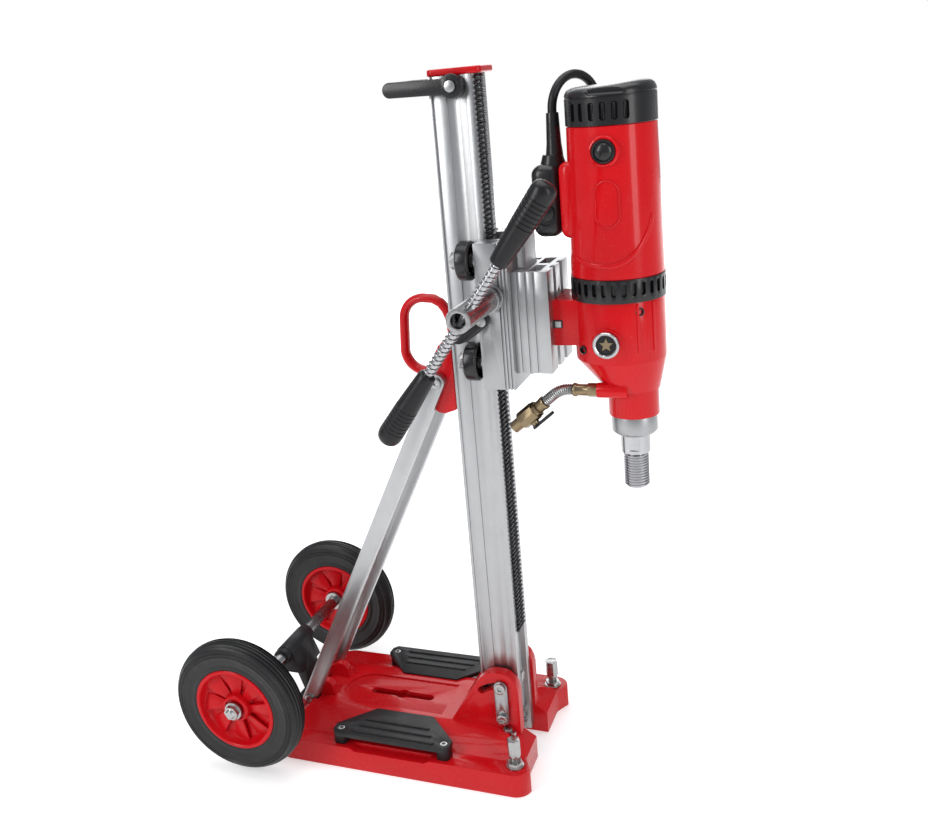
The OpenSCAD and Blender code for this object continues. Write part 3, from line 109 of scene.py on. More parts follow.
# %% Lamps and backdrop
def soft_lamp(name, place, target, size, power):
    """A rectangular lamp at a place, facing a target, both in metres."""
    data = bpy.data.lights.new(name, "AREA")
    data.shape, data.energy = "RECTANGLE", power
    data.size, data.size_y = size
    lamp = bpy.data.objects.new(name, data)
    bpy.context.scene.collection.objects.link(lamp)
    place = Vector(place)
    facing = (Vector(target) - place).to_track_quat("-Z", "Y").to_matrix().to_4x4()
    lamp.matrix_world = Matrix.Translation(place) @ facing


soft_lamp("key_lamp", (-1.6, -2.2, 1.9), (0, 0, 0.45), (1.0, 2.2), 46)
soft_lamp("front_lamp", (2.4, -1.1, 1.3), (0.1, 0, 0.5), (0.7, 2.0), 21)
soft_lamp("top_lamp", (0.1, 0.2, 2.7), (0, 0, 0.3), (2.2, 2.2), 34)
soft_lamp("back_lamp", (-0.6, 2.4, 1.6), (0, 0, 0.5), (2.0, 1.4), 18)
soft_lamp("sweep_lamp", (-1.2, 3.6, 2.6), (-1.5, 6.0, 0), (10.0, 2.0), 520)
world = bpy.data.worlds.new("studio")
world.use_nodes = True
tree = world.node_tree
chooser = tree.nodes.new("ShaderNodeMixShader")
tree.links.new(tree.nodes.new("ShaderNodeLightPath").outputs["Is Camera Ray"], chooser.inputs[0])
room, backdrop = tree.nodes["Background"], tree.nodes.new("ShaderNodeBackground")
for place, (shader, colour, strength) in enumerate(((room, (0.93, 0.95, 1.0, 1), 0.44),
                                                    (backdrop, (1, 1, 1, 1), 1.0)), 1):
    shader.inputs["Color"].default_value = colour
    shader.inputs["Strength"].default_value = strength
    tree.links.new(shader.outputs[0], chooser.inputs[place])
tree.links.new(chooser.outputs[0], tree.nodes["World Output"].inputs["Surface"])
bpy.context.scene.world = world
bpy.context.scene.view_settings.view_transform = "Standard"
print("lamps", len(bpy.data.lights))

# %% [markdown]
# ## Shader maths as plain expressions
# A finish is built from nodes. One small class wraps a node's socket and gives
# it +, - and *, so that a recipe reads like arithmetic, and each
# operation adds its Math node. Any other node comes from one method, which
# takes the node's type, its settings, and what goes into its sockets.

# %% Sockets that can be added and multiplied
class Flow:
    """A number or colour that flows out of a shader node."""

    def __init__(self, finish, socket):
        self.finish, self.socket = finish, socket

    def maths(self, operation, first, second):
        return self.finish.node("ShaderNodeMath", {"operation": operation}, {0: first, 1: second})

    def __add__(self, other):
        return self.maths("ADD", self, other)

    def __radd__(self, other):
        return self.maths("ADD", other, self)

    def __mul__(self, other):
        return self.maths("MULTIPLY", self, other)

    def __sub__(self, other):
        return self.maths("SUBTRACT", self, other)


class Finish:
    """A material with one Principled shader, and the nodes that feed it."""

    def __init__(self, name, **constants):
        self.material = bpy.data.materials.new(name)
        self.material.use_nodes = True
        self.tree = self.material.node_tree
        self.shader = self.tree.nodes["Principled BSDF"]
        for socket, value in constants.items():
            self.shader.inputs[socket.replace("_", " ")].default_value = value

    def node(self, kind, settings, inputs, out=0):
        """Adds a node: its settings first, then the values or links of its sockets."""
        made = self.tree.nodes.new(kind)
        for key, value in settings.items():
            if key == "stops":
                for stop, (place, shade) in zip(made.color_ramp.elements, value):
                    stop.position, stop.color = place, (*[shade] * 3, 1)
            else:
                setattr(made, key, value)
        for key, value in inputs.items():
            if isinstance(value, Flow):
                self.tree.links.new(value.socket, made.inputs[key])
            else:
                made.inputs[key].default_value = value
        return Flow(self, made.outputs[out])

    def place(self, stretch, turned):
        """The surface's own position, stretched and turned."""
        spot = self.node("ShaderNodeTexCoord", {}, {}, "Object")
        return self.node("ShaderNodeMapping", {},
                         {"Vector": spot, "Scale": stretch, "Rotation": turned})

    def cloud(self, size, detail=3.0, stretch=(1, 1, 1), turned=(0, 0, 0)):
        """Soft noise from 0 to 1 whose patches are about size metres across."""
        return self.node("ShaderNodeTexNoise", {},
                         {"Vector": self.place(stretch, turned), "Scale": 1 / size,
                          "Detail": detail, "Roughness": 0.6})

    def ramp(self, value, low, high):
        """Stretches the part of a value between low and high to 0 to 1."""
        return self.node("ShaderNodeValToRGB", {"stops": [(low, 0), (high, 1)]}, {"Fac": value})

    def blend(self, share, first, second):
        """A colour between two colours."""
        return self.node("ShaderNodeMix", {"data_type": "RGBA"},
                         {0: share, 6: self.shade(first), 7: self.shade(second)}, 2)

    def shade(self, colour):
        return colour if isinstance(colour, Flow) else (*colour, 1)

    def relief(self, height, depth):
        """Turns a height from 0 to 1 into a bump of some depth in metres."""
        return self.node("ShaderNodeBump", {}, {"Height": height, "Distance": depth, "Strength": 1.0})

    def feed(self, **flows):
        """Links flows to the shader's sockets."""
        for socket, flow in flows.items():
            self.tree.links.new(flow.socket, self.shader.inputs[socket.replace("_", " ")])
        return self.material


print("shader helpers ready")

# %% [markdown]
# ## Paint
# The casting and the motor wear thick glossy red paint. Real paint is never one
# flat colour: it is a little darker where it lies thin, has a faint orange-peel
# ripple, and picks up dull patches from hands. A clear coat gives the deep gloss.

# %% Red and black paint
def paint(name, colour, shadow, gloss=0.24, peel=0.00012, coat=0.26, grain=0.0022):
    finish = Finish(name, Coat_Weight=coat, Coat_Roughness=0.05, Specular_IOR_Level=0.14)
    patches = finish.cloud(0.09)
    dull = finish.ramp(finish.cloud(0.035, 5), 0.52, 0.78)
    dust = finish.ramp(finish.cloud(0.0016, 2), 0.66, 0.74)
    tint = finish.blend(patches, shadow, colour)
    return finish.feed(
        Base_Color=finish.blend(dust * 0.12, tint, (0.55, 0.5, 0.48)),
        Roughness=gloss + dull * 0.1 + patches * 0.06,
        Normal=finish.relief(finish.cloud(grain, 1), peel))


casting_red = paint("casting_red", (0.56, 0.004, 0.008), (0.44, 0.003, 0.006))
motor_red = paint("motor_red", (0.62, 0.004, 0.008), (0.52, 0.003, 0.006), 0.2, 0.00005)
wheel_red = paint("wheel_red", (0.56, 0.003, 0.008), (0.46, 0.002, 0.006), 0.3, 0.00004, 0.1)
black_paint = paint("black_paint", (0.022, 0.022, 0.024), (0.014, 0.014, 0.015), 0.34, 0.0001, 0.06)
print("paints made")

# %% [markdown]
# ## Bare metal
# An extruded section is drawn through a die, which leaves fine lines along its
# length; turned steel has rings; zinc plate has a soft cloudy bloom. One recipe
# serves them all: noise that is stretched along the direction of the tool.

# %% Metals
def metal(name, colour, shadow, gloss, line=0.0006, stretch=(1, 1, 0.02), depth=0.00002,
          turned=(0, 0, 0), bloom=0.03):
    finish = Finish(name, Metallic=1.0)
    lines = finish.cloud(line, 2, stretch, turned)
    bloom_cloud = finish.cloud(bloom, 4)
    smear = finish.ramp(finish.cloud(bloom * 0.4, 5), 0.5, 0.8)
    return finish.feed(
        Base_Color=finish.blend(lines * 0.45 + bloom_cloud * 0.5, shadow, colour),
        Roughness=gloss + lines * 0.08 + smear * 0.1,
        Normal=finish.relief(lines, depth))


STRUT_FOOT, STRUT_HEAD = (-305.5, 48), (-48.5, 559)
STRUT_LEAN = math.atan2(STRUT_HEAD[0] - STRUT_FOOT[0], STRUT_HEAD[1] - STRUT_FOOT[1])
extruded_aluminium = metal("extruded_aluminium", (0.50, 0.505, 0.51), (0.38, 0.385, 0.39), 0.33)
machined_aluminium = metal("machined_aluminium", (0.44, 0.445, 0.45), (0.33, 0.335, 0.34), 0.30,
                           stretch=(0.03, 1, 1))
strut_steel = metal("strut_steel", (0.52, 0.525, 0.53), (0.40, 0.405, 0.41), 0.30,
                    turned=(0, -STRUT_LEAN, 0))
turned_steel = metal("turned_steel", (0.44, 0.44, 0.44), (0.24, 0.24, 0.25), 0.22, 0.0004, (0.05, 1, 0.05))
zinc_plate = metal("zinc_plate", (0.50, 0.50, 0.49), (0.30, 0.305, 0.31), 0.24, 0.003, (1, 1, 1),
                   bloom=0.008)
bright_chrome = metal("bright_chrome", (0.55, 0.55, 0.56), (0.38, 0.38, 0.39), 0.12, 0.002,
                      (1, 1, 1), 0.00001)
rack_steel = metal("rack_steel", (0.085, 0.085, 0.088), (0.035, 0.035, 0.037), 0.34, 0.0008,
                   (0.1, 0.1, 1), 0.00003, bloom=0.02)
brass = metal("brass", (0.36, 0.28, 0.17), (0.17, 0.125, 0.075), 0.27, 0.0006, (1, 0.2, 1),
              bloom=0.012)
copper = metal("copper", (0.66, 0.30, 0.14), (0.42, 0.17, 0.08), 0.35, 0.0008, (0.1, 0.1, 1), 0.0001)
lamination = metal("lamination", (0.22, 0.22, 0.23), (0.10, 0.10, 0.11), 0.45, 0.0006,
                   (0.02, 0.02, 1), 0.0001)
print("metals made")

# %% [markdown]
# ## Plastic and rubber
# Moulded black plastic has a fine even grain from its spark-eroded mould, worn
# smoother where it is touched. Rubber is duller and softer, greyed by dust.

# %% Plastics and rubbers
def moulded(name, colour, shadow, rough, grain=0.0007, depth=0.00006, worn=0.1, **constants):
    finish = Finish(name, Specular_IOR_Level=0.32, **constants)
    speck = finish.cloud(grain, 2)
    handled = finish.ramp(finish.cloud(0.03, 4), 0.45, 0.75)
    return finish.feed(
        Base_Color=finish.blend(handled * 0.6 + speck * 0.3, colour, shadow),
        Roughness=rough + speck * 0.1 - handled * worn,
        Normal=finish.relief(speck, depth))


# This black serves the real plastic parts and also paints shade: the sheet behind the vent ring, the screw
# wells and the brick behind the gear case key.
black_plastic = moulded("black_plastic", (0.006, 0.006, 0.007), (0.014, 0.014, 0.015), 0.27,
                        Coat_Weight=0.25, Coat_Roughness=0.16)
grip_rubber = moulded("grip_rubber", (0.005, 0.005, 0.006), (0.012, 0.012, 0.013), 0.30, 0.0012, 0.00008)
tyre_rubber = moulded("tyre_rubber", (0.008, 0.008, 0.009), (0.020, 0.020, 0.020), 0.40, 0.0010, 0.0001)
lead_rubber = moulded("lead_rubber", (0.006, 0.006, 0.007), (0.012, 0.012, 0.013), 0.36, 0.002, 0.00003)
pad_plastic = moulded("pad_plastic", (0.008, 0.008, 0.009), (0.018, 0.018, 0.019), 0.42, 0.0009, 0.00009)
studio_grey = moulded("studio_grey", (0.86, 0.86, 0.86), (0.90, 0.90, 0.90), 0.8, 0.05, 0.0, 0.0,
                      Emission_Color=(1, 1, 1, 1), Emission_Strength=0.34)
floor.data.materials.append(studio_grey)
print("plastics made")

# %% [markdown]
# ## Every piece gets its finish
# The frame's record says which body a node belongs to. The finish is chosen
# here, by what the real piece is made of.

# %% Finish of each node
NODE_FINISH = {
    casting_red: ["base", "ring_handle", "mast_cap"],
    motor_red: ["motor_housing", "gear_housing"],
    wheel_red: ["wheel_hub_near", "wheel_hub_far", "switch_rocker"],
    black_paint: ["axle_bracket", "bracket_clamp"],
    extruded_aluminium: ["mast", "dovetail_rail", "spacer_block"],
    machined_aluminium: ["carriage", "spindle_collar"],
    strut_steel: ["struts"],
    turned_steel: ["axle_tube", "feed_hub", "feed_bearing", "link_plates"],
    zinc_plate: ["base_fasteners", "levelling_screw_near", "levelling_screw_far", "axle_bolts", "mast_bolts",
                 "strut_top_screws", "strut_pivot_bolts", "carriage_bolts", "bearings"],
    bright_chrome: ["crossbar", "spindle", "spring_upper", "spring_lower", "sight_glass"],
    rack_steel: ["rack", "pinion_shaft", "countershaft", "output_gear"],
    brass: ["hose_fittings", "valve_body"],
    copper: ["armature"],
    lamination: ["stator"],
    black_plastic: ["end_cap", "vent_ring", "switch_box", "lead_glands", "top_handle", "lock_lever",
                    "valve_lever", "brush_caps", "roller_near_low", "roller_near_high",
                    "roller_far_low", "roller_far_high"],
    grip_rubber: ["grips"],
    tyre_rubber: ["tyre_near", "tyre_far"],
    pad_plastic: ["foot_pads"],
    lead_rubber: ["lead", "hose"],
}
for material, names in NODE_FINISH.items():
    for name in names:
        mesh = frame["nodes"][name].data
        mesh.materials.clear()
        mesh.materials.append(material)
node_finish = {name: material for material, names in NODE_FINISH.items() for name in names}
print("finished nodes", len(node_finish), "of", len(frame["nodes"]))

# %% [markdown]
# ## Round edges
# No real casting, moulding or machined block has a perfectly sharp edge: the
# edge catches a thin line of light. The exact solids have sharp ones, so most
# pieces are made by taking a copy of the solid's mesh, merging its loose
# triangles into whole faces, and cutting every sharp edge with a bevel. The
# solid itself stays untouched behind the copy, for the physics.

# %% Helpers for whole pieces
record = frame["record"]
body_of = {node: body for body, members in record["behaviour"]["bodies"].items() for node in members}


def pick(piece):
    """Makes one object the only selected and active one."""
    bpy.ops.object.select_all(action="DESELECT")
    piece.select_set(True)
    bpy.context.view_layer.objects.active = piece


def in_edit(piece, *steps):
    """Runs edit mode steps on all of a piece's mesh."""
    pick(piece)
    bpy.ops.object.mode_set(mode="EDIT")
    bpy.ops.mesh.select_all(action="SELECT")
    for step in steps:
        step()
    bpy.ops.object.mode_set(mode="OBJECT")


def modify(piece, kind, **settings):
    """Adds a modifier and applies it."""
    pick(piece)
    modifier = piece.modifiers.new(kind.lower(), kind)
    for key, value in settings.items():
        setattr(modifier, key, value)
    bpy.ops.object.modifier_apply(modifier=modifier.name)


def bevel(piece, width, segments=2, angle=30):
    """Rounds every edge that is sharper than an angle in degrees."""
    modify(piece, "BEVEL", width=width * MM, segments=segments, limit_method="ANGLE",
           angle_limit=math.radians(angle), miter_outer="MITER_ARC", use_clamp_overlap=True)


def cut(piece, *cutters):
    """Takes each cutter's shape out of a piece, and removes the cutter."""
    for cutter in cutters:
        modify(piece, "BOOLEAN", operation="DIFFERENCE", object=cutter, solver="EXACT")
        bpy.data.objects.remove(cutter)


def set_at(piece, x=0, y=0, z=0, turn=0):
    """Turns a piece about Z by some degrees and moves it to a place in millimetres."""
    spun = Matrix.Rotation(math.radians(turn), 4, "Z")
    piece.data.transform(Matrix.Translation(rig_point(x, y, z)) @ spun)


def smooth(piece, angle=35):
    pick(piece)
    bpy.ops.object.shade_smooth_by_angle(angle=math.radians(angle))


def stands_for(piece, *nodes, finish=None):
    """A finished piece takes its node's finish, rides on its body and is shown in its place."""
    first = nodes[0]
    piece.data.materials.clear()
    piece.data.materials.append(finish or node_finish[first])
    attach(piece, body_of[first])
    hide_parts(*nodes)
    return piece


def rides_with(piece, node, finish=None):
    """An added detail takes a node's finish and body, and leaves the node shown."""
    piece.data.materials.clear()
    piece.data.materials.append(finish or node_finish[node])
    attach(piece, body_of[node])
    return piece


def whole_copy(name, node):
    """A copy of a node's mesh with its triangles merged into whole faces."""
    piece = bpy.data.objects.new(name, frame["nodes"][node].data.copy())
    bpy.context.scene.collection.objects.link(piece)
    pick(piece)
    if piece.data.has_custom_normals:
        bpy.ops.mesh.customdata_custom_splitnormals_clear()
    in_edit(piece, lambda: bpy.ops.mesh.remove_doubles(threshold=0.00001),
            lambda: bpy.ops.mesh.dissolve_limited(angle_limit=math.radians(0.8)))
    return piece


def softened(name, node, width, segments):
    """A whole copy with round edges, shown in its node's place."""
    piece = whole_copy(name, node)
    bevel(piece, width, segments)
    smooth(piece)
    return stands_for(piece, node)


print("helpers ready")

# %% Pieces that only need soft edges
SOFT_EDGES = [
    ("base_casting", "base", 2.6, 3), ("mast_end_plate", "mast_cap", 2.2, 3),
    ("foot_pad_pair", "foot_pads", 1.1, 2), ("base_screws", "base_fasteners", 0.5, 2),
    ("levelling_near", "levelling_screw_near", 0.6, 2), ("levelling_far", "levelling_screw_far", 0.6, 2),
    ("axle_clamp", "axle_bracket", 1.2, 2), ("axle_fasteners", "axle_bolts", 0.5, 2),
    ("strut_pair", "struts", 2.4, 3), ("strut_screws_high", "strut_top_screws", 0.5, 2),
    ("strut_screws_low", "strut_pivot_bolts", 0.5, 2), ("bracket_screws", "bracket_clamp", 0.4, 2),
    ("mast_section", "mast", 0.45, 2), ("carry_strap", "top_handle", 2.8, 3),
    ("mast_screws", "mast_bolts", 0.5, 2), ("tilt_links", "link_plates", 0.7, 2),
    ("carriage_block", "carriage", 0.9, 2), ("dovetail_plate", "dovetail_rail", 0.6, 2),
    ("spacer", "spacer_block", 0.8, 2), ("carriage_screws", "carriage_bolts", 0.5, 2),
    ("feed_bushes", "feed_bearing", 0.6, 2), ("feed_sleeve", "feed_hub", 0.6, 2),
    ("lock_blade", "lock_lever", 1.2, 2), ("vent_band", "vent_ring", 0.8, 2),
    ("gear_case", "gear_housing", 1.8, 3), ("nose_collar", "spindle_collar", 0.8, 2),
    ("valve_block", "valve_body", 0.7, 2), ("valve_handle", "valve_lever", 0.8, 2),
    ("rocker_key", "switch_rocker", 0.8, 2), ("hose_ends", "hose_fittings", 0.5, 2),
    ("roller_a", "roller_near_low", 0.9, 2), ("roller_b", "roller_near_high", 0.9, 2),
    ("roller_c", "roller_far_low", 0.9, 2), ("roller_d", "roller_far_high", 0.9, 2),
    ("toothed_rack", "rack", 0.3, 1),
]
for name, node, width, segments in SOFT_EDGES:
    piece = softened(name, node, width, segments)
    print(name, len(piece.data.polygons), "faces")

# %% [markdown]
# ## Turned pieces
# A lathe cuts one profile all the way round an axis. Blender's Spin does the
# same: a point is pulled along step by step until it has drawn the profile, the
# profile is spun a full turn, and its first and last rings are merged. Each
# piece is turned along +Z first, and then laid where it belongs.

# %% A lathe
SAME_SPOT = 0.000005


def drawn(name, points):
    """Pulls one point through (x, z) places in millimetres, and stays in edit mode."""
    bpy.ops.mesh.primitive_plane_add(size=0.01, location=(0, 0, 0))
    piece = bpy.context.object
    piece.name = name
    bpy.ops.object.mode_set(mode="EDIT")
    bpy.ops.mesh.select_all(action="SELECT")
    bpy.ops.mesh.merge(type="CENTER")
    bpy.ops.transform.translate(value=(points[0][0] * MM, 0, points[0][1] * MM))
    for (x0, z0), (x1, z1) in zip(points, points[1:]):
        step = ((x1 - x0) * MM, 0, (z1 - z0) * MM)
        bpy.ops.mesh.extrude_vertices_move(TRANSFORM_OT_translate={"value": step})
    bpy.ops.mesh.select_all(action="SELECT")
    return piece


def closed_up():
    """Turns all faces of the piece in edit mode outwards, and leaves edit mode."""
    bpy.ops.mesh.select_all(action="SELECT")
    bpy.ops.mesh.normals_make_consistent(inside=False)
    bpy.ops.object.mode_set(mode="OBJECT")


def turned(name, profile, steps=64):
    """Spins a closed profile of (radius, height) points in millimetres about Z."""
    piece = drawn(name, [*profile, profile[0]])
    bpy.ops.mesh.remove_doubles(threshold=SAME_SPOT)
    bpy.ops.mesh.spin(steps=steps, angle=2 * math.pi, center=(0, 0, 0), axis=(0, 0, 1))
    bpy.ops.mesh.select_all(action="SELECT")
    bpy.ops.mesh.remove_doubles(threshold=SAME_SPOT)
    closed_up()
    return piece


def circle(name, sides, radius, place=(0, 0, 0), turns=(0, 0, 0), fill="NGON"):
    """A circle of a radius and at a place in millimetres, turned by degrees about each axis."""
    bpy.ops.mesh.primitive_circle_add(vertices=sides, radius=radius * MM, fill_type=fill,
                                      location=[c * MM for c in place],
                                      rotation=[math.radians(t) for t in turns])
    piece = bpy.context.object
    piece.name = name
    bpy.ops.object.transform_apply(location=True, rotation=True, scale=True)
    return piece


def lay(piece, origin, z_axis, x_hint=(0, 1, 0)):
    """Moves a piece from the world's origin, so that its +Z lies along z_axis at origin."""
    z = Vector(z_axis).normalized()
    x = Vector(x_hint)
    x = (x - z * x.dot(z)).normalized()
    piece.matrix_world = Matrix.Translation(origin) @ Matrix((x, z.cross(x), z)).transposed().to_4x4()
    pick(piece)
    bpy.ops.object.transform_apply(location=True, rotation=True, scale=True)
    return piece


def twin(piece, name):
    """A copy with a mesh of its own."""
    other = bpy.data.objects.new(name, piece.data.copy())
    bpy.context.scene.collection.objects.link(other)
    return other


def joined(first, *others):
    """Joins pieces into the first one."""
    bpy.ops.object.select_all(action="DESELECT")
    for piece in (first, *others):
        piece.select_set(True)
    bpy.context.view_layer.objects.active = first
    bpy.ops.object.join()
    return first


def brick(name, low, high):
    """A box between two corners in millimetres, about the world's origin."""
    bpy.ops.mesh.primitive_cube_add(size=1)
    piece = bpy.context.object
    piece.name = name
    piece.location = [(a + b) / 2 * MM for a, b in zip(low, high)]
    piece.scale = [(b - a) * MM for a, b in zip(low, high)]
    bpy.ops.object.transform_apply(location=True, rotation=True, scale=True)
    return piece


def choose(piece, test):
    """Selects the faces that pass a test, and no others, and enters edit mode."""
    pick(piece)
    bpy.ops.object.mode_set(mode="EDIT")
    bpy.ops.mesh.select_mode(type="FACE")
    bpy.ops.mesh.select_all(action="DESELECT")
    bpy.ops.object.mode_set(mode="OBJECT")
    for face in piece.data.polygons:
        face.select = bool(test(face))
    bpy.ops.object.mode_set(mode="EDIT")


def done():
    """Ends what choose began."""
    bpy.ops.mesh.select_mode(type="VERT")
    bpy.ops.object.mode_set(mode="OBJECT")


print("lathe ready")

# %% [markdown]
# ## Tyres
# The tyre is solid rubber on a moulded rim. Its tread has narrow grooves all the
# way round, and each sidewall has two raised rings where the halves of the
# mould met. The grooves come from the profile itself.

# %% Two tyres
AXLE_X, AXLE_Z, WHEEL_Y = -346.5, 110.5, 159.25
RIM_R = 62.0


def groove(height, radius, deep=2.0, wide=1.2):
    """Four profile points of a groove round the tread."""
    return [(radius, height + wide), (radius - deep, height + wide * 0.5),
            (radius - deep, height - wide * 0.5), (radius, height - wide)]


half_side = [(RIM_R, 16.2), (64.5, 17.4), (67.5, 17.2), (69.0, 16.6), (73, 17.5), (78, 18.3),
             (81.5, 18.6), (82.3, 19.0), (83.6, 19.0), (84.4, 17.9), (86.2, 17.6), (87.0, 18.5),
             (88.2, 18.3), (88.9, 16.8), (90.6, 16.3), (91.4, 17.0), (92.6, 16.6), (93.4, 14.9),
             (95.0, 13.8)]
half_side += groove(11.6, 96.3) + groove(7.0, 98.7) + groove(2.4, 99.9)


def both_sides(half):
    """A profile whose lower half mirrors its upper half."""
    return half + [(r, -z) for r, z in reversed(half)]


def on_axle(piece, name, near, far):
    """Puts a piece on the near end of the axle, and its twin on the far end."""
    for copy, side, node in ((piece, -1, near), (twin(piece, name), 1, far)):
        lay(copy, rig_point(AXLE_X, side * WHEEL_Y, AXLE_Z), (0, side, 0), (1, 0, 0))
        stands_for(copy, node)


tyre = turned("tyre_a", both_sides(half_side), 144)
smooth(tyre, 40)
on_axle(tyre, "tyre_b", "tyre_near", "tyre_far")
print("tyre", len(tyre.data.polygons), "faces")

# %% [markdown]
# ## Wheel rims
# The rim is one moulding: a hoop with a turned lip, a boss for the axle, and a
# dished web between them. Eight slanted blades stand on each side of the web,
# like a fan's. One blade is a box whose root is squeezed narrow; it is tipped,
# its edges are softened, and copies go round the boss.

# %% Two rims
BLADES, BLADE_TIP, BLADE_LIFT = 8, 11, 2.6
half_rim = [(RIM_R, 17), (RIM_R - 1.2, 18.2), (RIM_R - 4.2, 18.4), (RIM_R - 5.6, 17.2),
            (RIM_R - 7.5, 11.0), (RIM_R - 9.5, 7.2), (RIM_R - 12, 4.6), (30, 2.6), (24, 2.4),
            (21.2, 4.0), (20.0, 13.2), (18.4, 15.2), (16.4, 15.9), (15.6, 15.2), (15.6, 13.0),
            (7.06, 13.0)]
rim = turned("wheel_rim_a", both_sides(half_rim), 128)
smooth(rim, 30)
blade = brick("fan_blade", (18.5, -15, 3.4), (55.5, 15, 5.0))
choose(blade, lambda face: face.normal.x < -0.9)
bpy.ops.transform.resize(value=(1, 0.36, 1), center_override=(0, 0, 0))
done()
choose(blade, lambda face: face.normal.z < -0.9)
bpy.ops.transform.translate(value=(0, 0, -1.5 * MM))
done()
blade.data.transform(Matrix.Translation((0, 0, BLADE_LIFT * MM))
                     @ Matrix.Rotation(math.radians(BLADE_TIP), 4, "X"))
bevel(blade, 0.6)
smooth(blade, 40)
blades = []
for k in range(BLADES):
    for flip in (0, math.pi):
        copy = twin(blade, "blade_%d" % k)
        copy.data.transform(Matrix.Rotation(k * 2 * math.pi / BLADES, 4, "Z")
                            @ Matrix.Rotation(flip, 4, "X"))
        blades.append(copy)
bpy.data.objects.remove(blade)
joined(rim, *blades)
on_axle(rim, "wheel_rim_b", "wheel_hub_near", "wheel_hub_far")
print("rim", len(rim.data.polygons), "faces")

# %% [markdown]
# ## Grips and springs of the cross handle
# Each grip is a rubber sleeve, pushed on the bar: narrow at its mouth, fuller
# towards a domed end, with fine rings cut round its outer half. Behind each
# grip a spring of round wire fills the bar up to the hub. The wire is a small
# circle that the Screw modifier carries along a helix.

# %% Grips
BAR_SAG, BAR_TURN = 7.0, math.radians(53.5)
BAR = Vector((math.cos(BAR_TURN), 0, math.sin(BAR_TURN)))
bar_origin = rig_point(42.8, -157, 677)
MOUTH, RINGS, RING_STEP = 81.0, 7, 5.6
sleeve = [(5.5, MOUTH), (9.2, MOUTH), (10.4, MOUTH + 0.8), (11.0, MOUTH + 2.4), (11.7, MOUTH + 12),
          (12.7, MOUTH + 26), (13.6, MOUTH + 40), (14.2, MOUTH + 50)]
for k in range(RINGS):
    z, r = MOUTH + 53 + RING_STEP * k, 14.45 + 0.14 * k
    sleeve += [(r, z - 0.9), (r - 0.8, z - 0.3), (r - 0.8, z + 0.3), (r, z + 0.9)]
sleeve += [(15.4, MOUTH + 92), (15.3, MOUTH + 96), (14.6, MOUTH + 100), (13.0, MOUTH + 103.6),
           (10.4, MOUTH + 106.2), (7.0, MOUTH + 107.5), (3.4, MOUTH + 108), (0, MOUTH + 108),
           (0, MOUTH + 104), (5.5, MOUTH + 104)]
grips = turned("grip_pair", sleeve, 72)
smooth(grips, 40)
grip_low = twin(grips, "grip_low")
lay(grips, bar_origin - BAR * BAR_SAG * MM, BAR)
lay(grip_low, bar_origin - BAR * BAR_SAG * MM, -BAR)
joined(grips, grip_low)
stands_for(grips, "grips")
print("grips", len(grips.data.polygons), "faces")


# %% Springs
WIRE_R, COIL_R, HUB_END = 0.85, 6.75, 15.3


def spring(name, node, grip_end, turns):
    """A helix of wire from the hub to a grip."""
    hub_end = math.copysign(HUB_END, grip_end)
    low, high = sorted((hub_end, grip_end))
    piece = circle(name, 10, WIRE_R, (COIL_R, 0, 0), (90, 0, 0), "NOTHING")
    modify(piece, "SCREW", axis="Z", angle=2 * math.pi, iterations=turns, steps=20, render_steps=20,
           screw_offset=(high - low - 2 * WIRE_R) / turns * MM)
    in_edit(piece,
            lambda: bpy.ops.mesh.select_all(action="DESELECT"),
            lambda: bpy.ops.mesh.select_non_manifold(),
            lambda: bpy.ops.mesh.fill_holes(sides=12),
            lambda: bpy.ops.mesh.select_all(action="SELECT"),
            lambda: bpy.ops.mesh.normals_make_consistent(inside=False))
    smooth(piece, 60)
    piece.data.transform(Matrix.Translation((0, 0, (low + WIRE_R) * MM)))
    lay(piece, bar_origin, BAR)
    piece.data.materials.append(bright_chrome)
    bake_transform(piece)
    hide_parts(node)
    return piece


spring_high = spring("spring_high", "spring_upper", 73.7, 9)
spring_low = spring("spring_low", "spring_lower", -87.7, 11)
print("springs", len(spring_high.data.polygons), len(spring_low.data.polygons))

# %% [markdown]
# ## The threaded nose
# Core bits screw on the spindle's nose. Its shoulder has two flats for a
# spanner, and below them runs a coarse thread. Each turn of the thread is a
# vee with a narrow flat crest, part of the same turned profile.

# %% Spindle
SPINDLE_X, PITCH, CREST, THREAD_TURNS, THREAD_LOW = 200.5, 3.63, 15.87, 12, 417.2
FLAT_DEPTH, FLAT_HALF = 16.5, 4
thread = [(5, 415), (12.6, 415), (13.6, 416)]
for k in range(THREAD_TURNS):
    z = THREAD_LOW + PITCH * k
    thread += [(CREST - 2.0, z), (CREST, z + 1.35), (CREST, z + 1.85), (CREST - 2.0, z + 3.2)]
shoulder = [(13.6, 461.2), (13.6, 462.2), (18.0, 462.2), (18.5, 462.9), (18.5, 486.9), (17.9, 487.6)]
shank = [(13, 487.6), (13, 556), (12, 556), (12, 630), (0, 630), (0, 540), (5, 540)]
nose = turned("drill_nose", thread + shoulder + shank, 96)
lay(nose, rig_point(SPINDLE_X, 0, 0), (0, 0, 1), (1, 0, 0))
for side in (-1, 1):
    cutter = brick("flat", (-30, -FLAT_HALF, -7.5), (30, FLAT_HALF, 7.5))
    cutter.location = rig_point(SPINDLE_X, side * (FLAT_DEPTH + FLAT_HALF), 474.5)
    cut(nose, cutter)
smooth(nose, 30)
stands_for(nose, "spindle")
print("nose", len(nose.data.polygons), "faces")
